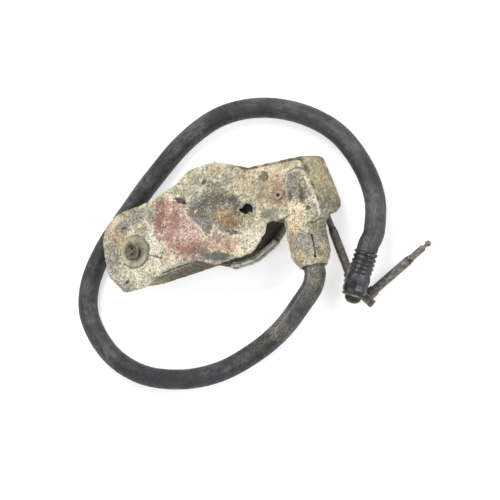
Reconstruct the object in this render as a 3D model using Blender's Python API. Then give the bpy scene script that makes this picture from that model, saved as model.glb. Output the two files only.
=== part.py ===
"""Remote cable release: a pressed-steel squeeze handle, a rubber-sheathed cable and a release head with two swinging arms.

The handle lies with its cheeks level. +X runs from the main pivot to the cable end of the handle, +Y towards the
top of the hump, +Z out of the front cover. Sizes are in millimetres and are turned into metres where meshes are made.
"""

import math

import bpy
from mathutils import Matrix, Vector

MM = 0.001

# ---------------------------------------------------------------- driving dimensions, in millimetres
FIT = 0.3                   # clearance between pieces that touch or turn on each other
SHEET = 1.2                 # sheet steel of the handle
HANDLE_DEPTH = 20.4         # over both cheeks
CABLE_DIAMETER = 9.4
CABLE_POINT_SPACING = 1.5   # in cable diameters
CABLE_STRAIGHT = 3.0        # the cable leaves the nozzle and the boot straight for this length
ARM_CLEARANCE = 0.5         # the handle rides this far above the arm that lies under it

PIVOT = (1.8, -0.7)         # main pivot, seen from above
TAIL_REACH = 15.4           # to the rounded tail, against +X
TAIL_TOP = 17.8
CHIN_FOOT = 17.9            # the cover's chin hangs below the tail
GRIP_LENGTH = 93.6          # to the top corner of the square end
END_SLOPE = 5.0             # the square end leans out by this much towards its foot
END_TOP = 16.8
END_FOOT = 6.4
RIM_STEP = 1.2              # the pan's rim stands this far out past the cover at the square end
REAR_FLARE = 3.4            # the rear cheek's top corner stands this far above the rim's
HUMP_TOP = 28.4
HUMP_MIDDLE = 43.5
FINGER_MIDDLE = 53.0        # middle of the finger bulge along the handle
FINGER_FOOT = 17.6
WAIST_FOOT = 13.2

PIVOT_RADIUS = 2.6
BUSH_WALL = 1.1
PIVOT_HEAD_RADIUS = 3.8
PIVOT_HEAD_HEIGHT = 1.5
CAP_NUT_FLOOR = 0.8
FLANGE_RADIUS = 7.3
FLANGE_THICKNESS = 1.1

LEVER_GAP = 3.0             # from each cheek's outer face to the lever
LEVER_WIDTH = HANDLE_DEPTH - 2 * LEVER_GAP
LEVER_SHEET = 1.5
LEVER_HUB = 7.4
WIRE_X = GRIP_LENGTH - 7.4  # the wire's nipple and the nozzle's axis
WIRE_RADIUS = 0.8
WIRE_LENGTH = 19.0          # the stretch of pull wire that is modelled
NIPPLE_RADIUS = 1.7
NIPPLE_PLAY = 0.5           # the lever's end swings while the nipple slides
SHELF_TOP = 5.0             # the spring's shelf is level with the lever's back
SHELF_REACH = 6.0           # to each side of the spring's axis

HEAD_SPACER = (GRIP_LENGTH - 19.2, 14.2)
HUMP_SPACER = (30.7, 15.8)
COVER_RIVET = (GRIP_LENGTH - 13.8, 4.0)
SPACER_RADIUS = 1.5
SPACER_SHOULDER = 0.9       # the post is this much wider between the cheeks
RIVET_LIP = 0.7             # the peened heads stand this far past their holes
WINDOW = (61.8, 2.8)        # middle of the opening in the cover
LIP_RADIUS = 0.9            # rolled hem of the rear cheek
LIP_BEFORE = 14.0           # the hem's ends, from the middle of the finger bulge
LIP_BEYOND = 19.0

SPRING_X = 45.0
SPRING_COIL_RADIUS = 3.6
SPRING_WIRE_RADIUS = 0.55
SPRING_TURNS = 6

NOZZLE_RADIUS = 8.85
NOZZLE_PROUD = 1.3          # the nozzle stands this far out of the cover's face
NOZZLE_LENGTH = 23.0
NOZZLE_MOUTH_WALL = 0.8
NOZZLE_TAPER = 5.0
SADDLE_THICKNESS = 1.2
SADDLE_SLOPE = 1.4          # its edges lean in by this much
SADDLE_TOP = 13.4
SADDLE_LEFT = WIRE_X - 2.2
SEAM_WIDTH = 0.7
SEAM_LENGTH = 10.0
SEAM_ANGLE = math.radians(38.0)     # from straight out, towards the square end
SEAM_HOLE_RADIUS = 0.9
NOZZLE_BUSH_LENGTH = 8.0
NOZZLE_BUSH_DEPTH = 7.5     # from the nozzle's root
FERRULE_LENGTH = 6.0
FERRULE_FLOOR = 2.4

ARM_RADIUS = 2.0
ARM_SLEEVE_LENGTH = 25.1    # arm's pivot to its step
ARM_PIN_RADIUS = 1.45
ARM_PIN_END = 34.0
ARM_NECK_RADIUS = 0.75
BALL_RADIUS = 1.4
BALL_CENTRE = 36.6
ARM_COLLAR_LENGTH = 1.2
ARM_PIN_DEPTH = 6.0         # the core pin starts this far from the arm's pivot
ARM_EYE_STEP = 0.35         # the flattened eye is this much flatter and wider than the sleeve
ARM_EYE_REACH = 2.8         # the round sleeve starts this far from the arm's pivot
ARM_EYE_LAP = 1.4           # and the flattened eye runs on into it
ARM_RIVET_RADIUS = 0.9
ARM_RIVET_HEAD = 1.6

BAR_WIDTH = 3.6
BAR_THICKNESS = 1.6
BAR_LENGTH = 17.8
BAR_TO_ARM_B = 5.8          # from the bar's near end
BAR_TO_STUD = 10.7
BAR_TO_ARM_A = 15.6
STUD_RADIUS = 1.1
LUG_THICKNESS = 0.8
LUG_WIDTH = 7.6

BOOT_LENGTH = 19.0
BOOT_RADIUS = 5.4           # the plain cuff over the barrel
BOOT_RIB = 0.6              # the ribs stand this far out past the cable
BOOT_RIBS = 5
BOOT_RIB_PITCH = 2.0
BARREL_RADIUS = 4.4
BARREL_LENGTH = 9.0
BARREL_BORE = 3.9
RING_RADIUS = 4.7
RING_LENGTH = 1.0
PLUNGER_STANDS_OUT = 3.2
PLUNGER_LENGTH = 4.0
PLUNGER_STEM_LENGTH = 8.0
PLUNGER_STEM = 1.0

BOOT_ASIDE = 24.2           # the boot's cable end, from the nozzle's mouth
BOOT_AHEAD = 0.6
STUD_BACK = 1.79            # the swivel stud, from the boot's mouth
STUD_ASIDE = 3.18
BOOT_HEADING = math.radians(-121.4)
BAR_HEADING = math.radians(124.0)
ARM_A_HEADING = math.radians(100.0)
ARM_B_HEADING = math.radians(24.2)

# ---------------------------------------------------------------- levels above the table, in millimetres
CABLE_RADIUS = CABLE_DIAMETER / 2
REAR_FACE = 2 * ARM_RADIUS + ARM_CLEARANCE
FRONT_FACE = REAR_FACE + HANDLE_DEPTH
PAN_RIM = FRONT_FACE - SHEET - FIT
MID_DEPTH = (REAR_FACE + FRONT_FACE) / 2
LEVER_REAR = MID_DEPTH - LEVER_WIDTH / 2
LEVER_FRONT = MID_DEPTH + LEVER_WIDTH / 2
NOZZLE_LEVEL = FRONT_FACE + NOZZLE_PROUD - NOZZLE_RADIUS
ARM_LEVEL = ARM_RADIUS
BAR_FOOT = 2 * ARM_RADIUS + FIT
BAR_TOP = BAR_FOOT + BAR_THICKNESS
LUG_FOOT = BAR_TOP + FIT
BOOT_LEVEL = LUG_FOOT + LUG_THICKNESS + FIT + BOOT_RADIUS
NOZZLE_TOP = -END_FOOT - FIT    # Y where the nozzle meets the pan
NOZZLE_MOUTH = NOZZLE_TOP - NOZZLE_LENGTH
BOOT_START = (WIRE_X + BOOT_ASIDE, NOZZLE_MOUTH + BOOT_AHEAD)

ARC_STEP = 15.0             # degrees between the points of an arc

STEEL = {"colour": (0.55, 0.50, 0.38), "roughness": 0.85, "metallic": 0.0}
BARE_STEEL = {"colour": (0.36, 0.31, 0.27), "roughness": 0.55, "metallic": 0.8}
BLACK_STEEL = {"colour": (0.06, 0.06, 0.06), "roughness": 0.6, "metallic": 0.5}
BRASS = {"colour": (0.55, 0.45, 0.22), "roughness": 0.45, "metallic": 0.9}
RUBBER = {"colour": (0.08, 0.08, 0.09), "roughness": 0.7, "metallic": 0.0}


# ---------------------------------------------------------------- helpers
def clear_scene():
    for item in list(bpy.data.objects):
        bpy.data.objects.remove(item)


def material(name, look):
    made = bpy.data.materials.get(name)
    if made:
        return made
    made = bpy.data.materials.new(name)
    made.use_nodes = True
    shader = made.node_tree.nodes["Principled BSDF"]
    shader.inputs["Base Color"].default_value = (*look["colour"], 1.0)
    shader.inputs["Roughness"].default_value = look["roughness"]
    shader.inputs["Metallic"].default_value = look["metallic"]
    return made


def link(name, data, look_name=None, look=None):
    made = bpy.data.objects.new(name, data)
    bpy.context.scene.collection.objects.link(made)
    if look:
        data.materials.append(material(look_name, look))
    return made


def mesh_piece(name, points, faces, look_name=None, look=None, smooth_angle=None):
    mesh = bpy.data.meshes.new(name)
    mesh.from_pydata([Vector(p) * MM for p in points], [], faces)
    mesh.validate()
    if smooth_angle:
        mesh.shade_smooth()
        mesh.set_sharp_from_angle(angle=math.radians(smooth_angle))
    return link(name, mesh, look_name, look)


def as_cutter(piece):
    """Keeps a shape as a helper that only cuts or joins."""
    piece.hide_render = True
    piece.display_type = "WIRE"
    return piece


def combine(piece, other, operation):
    as_cutter(other)
    step = piece.modifiers.new(operation.lower() + "_" + other.name, "BOOLEAN")
    step.operation = operation
    step.solver = "EXACT"
    step.object = other
    return piece


def cut(piece, *cutters):
    for cutter in cutters:
        combine(piece, cutter, "DIFFERENCE")
    return piece


def join(piece, *others):
    for other in others:
        combine(piece, other, "UNION")
    return piece


def rounded_path(corners, closed=True, arc_steps=None):
    """Points of a line through (x, y, radius) corners, each rounded by an arc of its radius."""
    points = []
    count = len(corners)
    for index, (x, y, radius) in enumerate(corners):
        here = Vector((x, y))
        if radius <= 0 or (not closed and index in (0, count - 1)):
            points.append(here)
            continue
        before = Vector(corners[index - 1][:2]) - here
        after = Vector(corners[(index + 1) % count][:2]) - here
        half = before.angle(after) / 2
        reach = min(radius / math.tan(half), 0.49 * before.length, 0.49 * after.length)
        radius = reach * math.tan(half)
        centre = here + (before.normalized() + after.normalized()).normalized() * (radius / math.sin(half))
        start = here + before.normalized() * reach - centre
        turn = math.pi - 2 * half
        if before.x * after.y - before.y * after.x > 0:
            turn = -turn
        steps = arc_steps or max(2, math.ceil(abs(math.degrees(turn)) / ARC_STEP))
        for part in range(steps + 1):
            points.append(centre + Matrix.Rotation(turn * part / steps, 2) @ start)
    return points


def offset_path(points, distance, closed=True):
    """The path moved sideways by a distance, to the left of its direction."""
    moved = []
    count = len(points)
    for index, here in enumerate(points):
        before = points[index - 1] if closed or index > 0 else None
        after = points[(index + 1) % count] if closed or index < count - 1 else None
        normals = []
        for start, end in ((before, here), (here, after)):
            if start is not None and end is not None and (end - start).length > 1e-9:
                along = (end - start).normalized()
                normals.append(Vector((-along.y, along.x)))
        normal = sum(normals, Vector((0.0, 0.0))).normalized()
        moved.append(here + normal * (distance / max(0.3, normal.dot(normals[0]))))
    return moved


def loft(name, low_outline, low, high_outline, high, look_name=None, look=None, smooth_angle=30.0):
    """A solid between two outlines of as many points each, listed counter-clockwise, at two levels."""
    count = len(low_outline)
    points = [(p[0], p[1], low) for p in low_outline] + [(p[0], p[1], high) for p in high_outline]
    faces = []
    for i in range(count):
        j = (i + 1) % count
        faces += [[i, j, count + j], [i, count + j, count + i]]
    faces.append(list(range(count - 1, -1, -1)))
    faces.append(list(range(count, 2 * count)))
    return mesh_piece(name, points, faces, look_name, look, smooth_angle)


def prism(name, outline, low, high, look_name=None, look=None, smooth_angle=30.0):
    """An outline in the XY plane, listed counter-clockwise, raised from one level to another."""
    return loft(name, outline, low, outline, high, look_name, look, smooth_angle)


def block(name, low, high, look_name=None, look=None):
    outline = [(low[0], low[1]), (high[0], low[1]), (high[0], high[1]), (low[0], high[1])]
    return prism(name, outline, low[2], high[2], look_name, look, None)


def circle(x, y, radius, count=20, turn=0.0):
    angles = [turn + 2 * math.pi * i / count for i in range(count)]
    return [(x + radius * math.cos(a), y + radius * math.sin(a)) for a in angles]


def turned(name, profile, look_name=None, look=None, count=20):
    """A profile of (radius, height) points, turned about +Z. It starts and ends on the axis, or closes on itself."""
    area = sum(a[0] * b[1] - b[0] * a[1] for a, b in zip(profile, [*profile[1:], profile[0]]))
    profile = profile if area > 0 else profile[::-1]
    on_axis = profile[0][0] == 0
    points = []
    rings = []
    for radius, height in profile:
        if radius == 0:
            rings.append([len(points)])
            points.append((0.0, 0.0, height))
            continue
        rings.append(list(range(len(points), len(points) + count)))
        points += [(x, y, height) for x, y in circle(0, 0, radius, count)]
    faces = []
    pairs = list(zip(rings, rings[1:]))
    if not on_axis:
        pairs.append((rings[-1], rings[0]))
    for low, high in pairs:
        for i in range(count):
            j = (i + 1) % count
            corners = [low[i % len(low)], low[j % len(low)], high[j % len(high)], high[i % len(high)]]
            faces.append(list(dict.fromkeys(corners)))
    return mesh_piece(name, points, faces, look_name, look, 35.0)


def pin(name, x, y, radius, low, high, look_name=None, look=None, count=16, turn=0.0):
    return prism(name, circle(x, y, radius, count, turn), low, high, look_name, look)


def place(piece, origin, along=(0, 0, 1)):
    """Stands a piece, made about +Z, at a point with its +Z along a direction."""
    piece.location = Vector(origin) * MM
    piece.rotation_mode = "QUATERNION"
    piece.rotation_quaternion = Vector(along).to_track_quat("Z", "Y")
    return piece


def tube(name, points, radius, sides, look_name, look):
    """A tube along a list of points, with filled ends. Its number of sides is 4 and twice the bevel resolution."""
    curve = bpy.data.curves.new(name, "CURVE")
    curve.dimensions = "3D"
    curve.bevel_depth = radius * MM
    curve.bevel_resolution = sides
    curve.use_fill_caps = True
    line = curve.splines.new("POLY")
    line.points.add(len(points) - 1)
    for knot, point in zip(line.points, points):
        knot.co = (*(Vector(point) * MM), 1.0)
    line.use_smooth = True
    return link(name, curve, look_name, look)


def smooth_curve(route, pieces):
    """Points of a smooth curve through a route's own points."""
    knots = [Vector(p) for p in route]
    knots = [2 * knots[0] - knots[1], *knots, 2 * knots[-1] - knots[-2]]
    points = []
    for a, b, c, d in zip(knots, knots[1:], knots[2:], knots[3:]):
        for part in range(pieces):
            t = part / pieces
            points.append(0.5 * (2 * b + (c - a) * t + (2 * a - 5 * b + 4 * c - d) * t * t
                                 + (3 * b - a - 3 * c + d) * t ** 3))
    points.append(knots[-2])
    return points


def heading(angle):
    return Vector((math.cos(angle), math.sin(angle)))


def empty_axis(name, x, y, level):
    made = link(name, None)
    made.location = Vector((x, y, level)) * MM
    return made


def carried(axis, *pieces):
    """Hangs pieces that were made in the handle's frame on a joint's empty, without moving them."""
    for piece in pieces:
        piece.parent = axis
        piece.matrix_parent_inverse = Matrix.Translation(-axis.location)


# ---------------------------------------------------------------- handle: cover, pan and their fixings
def cheek_corners(rim=0.0, rear=0.0):
    """Corners of a cheek's outline, counter-clockwise from the tail, as (x, y, radius).

    The rim is the pan's step at the square end. The pan has no chin, and its rear cheek, where rear is 1, is flared.
    """
    pan = rim / RIM_STEP        # 1 for the pan, 0 for the cover
    top_end = GRIP_LENGTH + rim
    foot_end = GRIP_LENGTH + END_SLOPE + rim / 3
    finger_start = FINGER_MIDDLE - 11.5
    finger_end = FINGER_MIDDLE + 8.0
    return [
        (-TAIL_REACH, TAIL_TOP + 0.6, 14.5),
        (-TAIL_REACH + 0.5 * rear, -7.4 + rear, 9.0),
        (-7.8 - pan, -CHIN_FOOT + 5.0 * pan, 2.2 + 2.0 * pan),
        (4.4, -CHIN_FOOT + 3.2 * pan, 2.0),
        (15.0, -WAIST_FOOT - 0.1 - 1.2 * pan, 9.0),
        (finger_start - 8.0, -WAIST_FOOT - 0.6 * rear, 7.0),
        (finger_start, -FINGER_FOOT - 0.4 * rear, 6.5),
        (finger_end - 9.0 * rear, -FINGER_FOOT - 0.3 * rear, 7.5),
        (finger_end + 8.2 - 4.5 * rear, -FINGER_FOOT + 6.6 - 2.0 * rear, 5.0),
        (finger_end + 10.4 + 0.8 * rear, -END_FOOT, 2.0),
        (foot_end + 1.6 * rear, -END_FOOT, 4.5),
        (top_end + rear, END_TOP + rim + REAR_FLARE * rear, 3.0 + rear),
        (HUMP_MIDDLE + 23.0, 19.8 + rim + rear, 3.0),
        (HUMP_MIDDLE + 17.5, 23.2 + 0.5 * rim, 3.0),
        (HUMP_MIDDLE + 7.5, HUMP_TOP, 8.0),
        (HUMP_MIDDLE - 7.0, HUMP_TOP, 7.0),
        (HUMP_MIDDLE - 14.0, 24.2, 6.0),
        (16.0, 20.4, 14.0),
    ]


def pan_outline(level, inset=0.0):
    """The pan's outline at a level, between its rear cheek and its rim."""
    rear = (PAN_RIM - level) / (PAN_RIM - REAR_FACE)
    outline = rounded_path(cheek_corners(RIM_STEP, rear), arc_steps=PAN_ARC_STEPS)
    return offset_path(outline, inset) if inset else outline


def square_end_x(y):
    """X of the cover's sloping square end at a height."""
    return GRIP_LENGTH + END_SLOPE * (END_TOP - y) / (END_TOP + END_FOOT)


SPACERS = (HEAD_SPACER, HUMP_SPACER)
PAN_ARC_STEPS = 3


def through_holes(piece, places, radius, low, high):
    """Cuts round holes through a sheet that lies level."""
    for index, (x, y) in enumerate(places):
        cut(piece, pin(f"cut_{piece.name}_hole_{index + 1}", x, y, radius, low - 1, high + 1))


def make_pan():
    floor = REAR_FACE + SHEET
    brim = PAN_RIM + 1
    pan = loft("rear_pan", pan_outline(REAR_FACE), REAR_FACE, pan_outline(PAN_RIM), PAN_RIM, "handle_steel", STEEL)
    inside = loft("cut_pan_inside", pan_outline(floor, SHEET), floor, pan_outline(brim, SHEET), brim)
    finger = block("cut_finger_opening",
                   (FINGER_MIDDLE - 15.0, -FINGER_FOOT - 5, floor),
                   (FINGER_MIDDLE + 21.0, -END_FOOT + 2 * SHEET, brim))
    wire_hole = place(turned("cut_wire_hole", [(0, 0), (2 * WIRE_RADIUS, 0), (2 * WIRE_RADIUS, 6), (0, 6)]),
                      (WIRE_X, -END_FOOT - 3, NOZZLE_LEVEL), (0, 1, 0))
    cut(pan, inside, finger, wire_hole)
    through_holes(pan, [PIVOT], PIVOT_RADIUS + FIT, REAR_FACE, floor)
    through_holes(pan, SPACERS, SPACER_RADIUS + FIT, REAR_FACE, floor)
    return pan


def make_cover():
    low = FRONT_FACE - SHEET
    cover = prism("front_cover", rounded_path(cheek_corners()), low, FRONT_FACE, "handle_steel", STEEL)
    window = prism("cut_window", rounded_path([
        (WINDOW[0] - 4.8, WINDOW[1] + 0.4, 0.8), (WINDOW[0] - 0.4, WINDOW[1] - 2.4, 1.2),
        (WINDOW[0] + 4.4, WINDOW[1] - 1.4, 1.2), (WINDOW[0] + 4.4, WINDOW[1] + 1.6, 1.4),
        (WINDOW[0] + 0.6, WINDOW[1] + 2.8, 1.2)]), low - 1, FRONT_FACE + 1)
    cut(cover, window)
    through_holes(cover, [PIVOT], PIVOT_RADIUS + FIT, low, FRONT_FACE)
    through_holes(cover, [*SPACERS, COVER_RIVET], SPACER_RADIUS + FIT, low, FRONT_FACE)
    return cover


def make_spacers():
    """Shouldered posts that hold the cover to the pan, with a low head at each face."""
    rear = REAR_FACE - FIT - 0.5
    front = FRONT_FACE + FIT + 0.5
    floor = REAR_FACE + SHEET + FIT
    ceiling = FRONT_FACE - SHEET - FIT
    lip = SPACER_RADIUS + RIVET_LIP
    waist = SPACER_RADIUS + SPACER_SHOULDER
    for index, (x, y) in enumerate(SPACERS):
        post = turned(f"spacer_post_{index + 1}", [
            (0, rear), (lip - 0.3, rear), (lip, rear + 0.5), (SPACER_RADIUS, rear + 0.5),
            (SPACER_RADIUS, floor), (waist, floor), (waist, ceiling),
            (SPACER_RADIUS, ceiling), (SPACER_RADIUS, front - 0.5), (lip, front - 0.5),
            (lip - 0.3, front), (0, front)], "fixing_steel", BARE_STEEL, 14)
        place(post, (x, y, 0))


def make_cover_rivet():
    """Small eyelet rivet in the cover."""
    low = FRONT_FACE - SHEET - FIT - 0.4
    rivet = turned("cover_rivet", [
        (0.6, low), (SPACER_RADIUS + 0.6, low), (SPACER_RADIUS + 0.6, low + 0.4), (SPACER_RADIUS, low + 0.4),
        (SPACER_RADIUS, FRONT_FACE + FIT), (SPACER_RADIUS + RIVET_LIP, FRONT_FACE + FIT),
        (SPACER_RADIUS + RIVET_LIP - 0.2, FRONT_FACE + FIT + 0.5), (0.6, FRONT_FACE + FIT + 0.4)],
        "fixing_steel", BARE_STEEL, 14)
    place(rivet, (*COVER_RIVET, 0))


def make_rear_lip():
    """Rolled hem along the rear cheek's finger bulge."""
    level = REAR_FACE + SHEET + FIT + LIP_RADIUS
    start = FINGER_MIDDLE - LIP_BEFORE
    end = FINGER_MIDDLE + LIP_BEYOND
    edge = pan_outline(level, LIP_RADIUS + FIT + 0.1)
    hem = [p for p in edge if start < p.x < end and p.y < -END_FOOT - 1.0]
    return tube("rear_lip", [(p.x, p.y, level) for p in hem], LIP_RADIUS, 2, "handle_steel", STEEL)


# ---------------------------------------------------------------- main pivot
def make_pivot():
    head_foot = FRONT_FACE + FIT + FLANGE_THICKNESS + FIT
    head_top = head_foot + PIVOT_HEAD_HEIGHT
    rear_low = CAP_NUT_FLOOR + FIT
    screw = turned("pivot_screw", [
        (0, rear_low), (PIVOT_RADIUS, rear_low), (PIVOT_RADIUS, head_foot),
        (PIVOT_HEAD_RADIUS, head_foot), (PIVOT_HEAD_RADIUS, head_top - 0.4), (PIVOT_HEAD_RADIUS - 0.5, head_top),
        (PIVOT_HEAD_RADIUS - 1.3, head_top), (PIVOT_HEAD_RADIUS - 1.5, head_top - 0.5), (0, head_top - 0.5)],
        "fixing_steel", BARE_STEEL)
    holes = [pin(f"cut_spanner_hole_{i}", PIVOT[0] + side * 0.3, PIVOT[1] + side * 1.25, 0.55,
                 head_top - 1.2, head_top + 1, count=10)
             for i, side in enumerate((-1, 1))]
    cut(screw, *holes)
    place(screw, (*PIVOT, 0))
    flange = turned("pivot_flange", [
        (PIVOT_RADIUS + FIT, FRONT_FACE + FIT), (FLANGE_RADIUS, FRONT_FACE + FIT),
        (FLANGE_RADIUS, FRONT_FACE + FIT + 0.6), (FLANGE_RADIUS - 0.6, FRONT_FACE + FIT + FLANGE_THICKNESS),
        (PIVOT_RADIUS + FIT, FRONT_FACE + FIT + FLANGE_THICKNESS)], "handle_steel", STEEL, 28)
    nut = turned("pivot_rear_nut", [
        (0, 0), (PIVOT_HEAD_RADIUS + 0.6, 0), (PIVOT_HEAD_RADIUS + 1.2, 0.4),
        (PIVOT_HEAD_RADIUS + 1.2, REAR_FACE - FIT), (PIVOT_RADIUS + FIT, REAR_FACE - FIT),
        (PIVOT_RADIUS + FIT, CAP_NUT_FLOOR), (0, CAP_NUT_FLOOR)], "fixing_steel", BARE_STEEL)
    bush_low = REAR_FACE + SHEET + FIT
    bush_high = FRONT_FACE - SHEET - FIT
    bush = turned("pivot_bush", [
        (PIVOT_RADIUS + FIT, bush_low), (PIVOT_RADIUS + FIT + BUSH_WALL, bush_low),
        (PIVOT_RADIUS + FIT + BUSH_WALL, bush_high), (PIVOT_RADIUS + FIT, bush_high)], "brass", BRASS)
    for piece in (flange, nut, bush):
        place(piece, (*PIVOT, 0))


# ---------------------------------------------------------------- squeeze lever, its spring and the wire's nipple
LEVER_FOOT_CORNERS = (
    (7.0, -9.6, 0),
    (FINGER_MIDDLE - 19.5, -9.8, 7.0),
    (FINGER_MIDDLE - 11.0, -FINGER_FOOT + 4.6, 6.0),
    (FINGER_MIDDLE + 6.0, -FINGER_FOOT + 4.6, 7.0),
    (FINGER_MIDDLE + 15.5, -END_FOOT + 0.2, 4.0),
    (FINGER_MIDDLE + 20.0, -END_FOOT + 1.9, 2.0),
    (WIRE_X + 5.6, -END_FOOT + 1.9, 0),
)


def make_lever(axis):
    """A channel bent from sheet: two side plates on the bush, and a finger plate along their foot."""
    corners = [
        (PIVOT[0] - LEVER_HUB, PIVOT[1] + LEVER_HUB, LEVER_HUB),
        (PIVOT[0] - LEVER_HUB, PIVOT[1] - LEVER_HUB, LEVER_HUB),
        *LEVER_FOOT_CORNERS,
        (WIRE_X + 5.6, 4.6, 1.5),
        (FINGER_MIDDLE + 16.0, 6.2, 6.0),
        (28.0, 6.4, 8.0),
        (PIVOT[0] + LEVER_HUB, PIVOT[1] + LEVER_HUB, 4.0),
    ]
    side = rounded_path(corners)
    lever = prism("squeeze_lever", side, LEVER_REAR, LEVER_REAR + LEVER_SHEET, "lever_steel", BLACK_STEEL)
    front = prism("join_lever_front", side, LEVER_FRONT - LEVER_SHEET, LEVER_FRONT)
    foot = rounded_path(LEVER_FOOT_CORNERS, closed=False)
    plate = prism("join_lever_plate", foot + offset_path(foot, LEVER_SHEET, closed=False)[::-1],
                  LEVER_REAR + 0.2, LEVER_FRONT - 0.2)
    shelf = block("join_spring_shelf",
                  (SPRING_X - SHELF_REACH, SHELF_TOP - LEVER_SHEET, LEVER_REAR + 0.2),
                  (SPRING_X + SHELF_REACH, SHELF_TOP, LEVER_FRONT - 0.2))
    join(lever, front, plate, shelf)
    bush_hole = pin("cut_lever_bush", *PIVOT, PIVOT_RADIUS + FIT + BUSH_WALL + FIT, LEVER_REAR - 1, LEVER_FRONT + 1)
    nipple_hole = pin("cut_lever_nipple", WIRE_X, 0, NIPPLE_RADIUS + NIPPLE_PLAY, LEVER_REAR - 1, LEVER_FRONT + 1)
    wire_slot = block("cut_lever_wire",
                      (WIRE_X - 1.6, -END_FOOT - 1, NOZZLE_LEVEL - 1.6),
                      (WIRE_X + 1.6, -1.0, NOZZLE_LEVEL + 1.6))
    cut(lever, bush_hole, nipple_hole, wire_slot)
    carried(axis, lever)


def make_spring():
    """Compression spring between the lever's shelf and the top of the hump."""
    foot = SHELF_TOP + FIT + SPRING_WIRE_RADIUS
    head = HUMP_TOP - SHEET - FIT - SPRING_WIRE_RADIUS
    steps = SPRING_TURNS * 10
    points = []
    for i in range(steps + 1):
        angle = 2 * math.pi * i / 10
        rise = min(1.0, max(0.0, (i - 5) / (steps - 10)))
        points.append((SPRING_X + SPRING_COIL_RADIUS * math.cos(angle),
                       foot + (head - foot) * rise,
                       MID_DEPTH + SPRING_COIL_RADIUS * math.sin(angle)))
    return tube("return_spring", points, SPRING_WIRE_RADIUS, 1, "fixing_steel", BARE_STEEL)


def make_pull_wire(axis):
    nipple = pin("wire_nipple", WIRE_X, 0, NIPPLE_RADIUS, LEVER_REAR, LEVER_FRONT, "brass", BRASS, 14)
    wire = place(turned("join_wire", [(0, 0), (WIRE_RADIUS, 0), (WIRE_RADIUS, WIRE_LENGTH), (0, WIRE_LENGTH)],
                        count=10), (WIRE_X, -0.2, NOZZLE_LEVEL), (0, -1, 0))
    join(nipple, wire)
    carried(axis, nipple)


# ---------------------------------------------------------------- nozzle that clamps the cable
def make_nozzle():
    mouth = CABLE_RADIUS + FIT
    down = NOZZLE_LENGTH
    sleeve = turned("cable_nozzle", [
        (NOZZLE_RADIUS - SHEET, 0), (NOZZLE_RADIUS, 0), (NOZZLE_RADIUS, down - NOZZLE_TAPER),
        (NOZZLE_RADIUS - 0.5, down - NOZZLE_TAPER + 1.2), (mouth + NOZZLE_MOUTH_WALL, down - 0.8),
        (mouth + NOZZLE_MOUTH_WALL - 0.2, down), (mouth, down), (mouth, down - 0.8),
        (NOZZLE_RADIUS - SHEET - 0.5, down - NOZZLE_TAPER + 0.6), (NOZZLE_RADIUS - SHEET, down - NOZZLE_TAPER - 0.6)],
        "handle_steel", STEEL, 28)
    place(sleeve, (WIRE_X, NOZZLE_TOP, NOZZLE_LEVEL), (0, -1, 0))
    low = FRONT_FACE + FIT
    foot = NOZZLE_TOP - 4.5
    base = rounded_path([
        (SADDLE_LEFT - 1.0, foot, 2.0), (WIRE_X + 6.0, foot, 2.0), (square_end_x(-END_FOOT) - 0.6, -END_FOOT, 4.0),
        (square_end_x(SADDLE_TOP) - 0.8, SADDLE_TOP - 1.5, 3.0), (WIRE_X + 4.5, SADDLE_TOP, 2.5),
        (SADDLE_LEFT, SADDLE_TOP - 1.0, 3.0), (SADDLE_LEFT + 0.3, 2.0, 5.0)], arc_steps=3)
    saddle = loft("join_saddle", base, low, offset_path(base, SADDLE_SLOPE), low + SADDLE_THICKNESS)
    join(sleeve, saddle)
    seam_foot = NOZZLE_MOUTH + NOZZLE_TAPER - 2.0
    seam = block("cut_seam", (-SEAM_WIDTH / 2, 0, CABLE_RADIUS + 1), (SEAM_WIDTH / 2, SEAM_LENGTH, NOZZLE_RADIUS + 2))
    seam_hole = pin("cut_seam_hole", 0, 0, SEAM_HOLE_RADIUS, CABLE_RADIUS + 1, NOZZLE_RADIUS + 2, count=12)
    for cutter in (seam, seam_hole):
        cutter.location = Vector((WIRE_X, seam_foot, NOZZLE_LEVEL)) * MM
        cutter.rotation_euler = (0, SEAM_ANGLE, 0)
    cut(sleeve, seam, seam_hole)


def make_nozzle_inside():
    """The cable's end inside the nozzle: its ferrule, its last stretch, and the bush that centres it."""
    root_top = NOZZLE_TOP - 3.0
    root_length = root_top - NOZZLE_MOUTH - FIT
    root = turned("cable_root", [
        (1.3, 0), (CABLE_RADIUS, 0), (CABLE_RADIUS, root_length), (1.3, root_length)], "cable_rubber", RUBBER, 16)
    place(root, (WIRE_X, root_top, NOZZLE_LEVEL), (0, -1, 0))
    ferrule = turned("sheath_ferrule", [
        (1.8, 0), (CABLE_RADIUS + 1.0, 0), (CABLE_RADIUS + 1.0, FERRULE_LENGTH),
        (CABLE_RADIUS + FIT, FERRULE_LENGTH), (CABLE_RADIUS + FIT, FERRULE_FLOOR), (1.8, FERRULE_FLOOR)], "fixing_steel", BARE_STEEL, 16)
    place(ferrule, (WIRE_X, NOZZLE_TOP - 0.3, NOZZLE_LEVEL), (0, -1, 0))
    bush = turned("nozzle_bush", [
        (CABLE_RADIUS + FIT, 0), (NOZZLE_RADIUS - SHEET - FIT, 0),
        (NOZZLE_RADIUS - SHEET - FIT, NOZZLE_BUSH_LENGTH), (CABLE_RADIUS + FIT, NOZZLE_BUSH_LENGTH)],
        "cable_rubber", RUBBER, 16)
    place(bush, (WIRE_X, NOZZLE_TOP - NOZZLE_BUSH_DEPTH, NOZZLE_LEVEL), (0, -1, 0))


# ---------------------------------------------------------------- release head on the cable's far end
BOOT_ALONG = heading(BOOT_HEADING)
BAR_ALONG = heading(BAR_HEADING)


def on_boot(distance):
    """A point on the boot's axis, seen from above."""
    return Vector(BOOT_START) + BOOT_ALONG * distance


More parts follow.
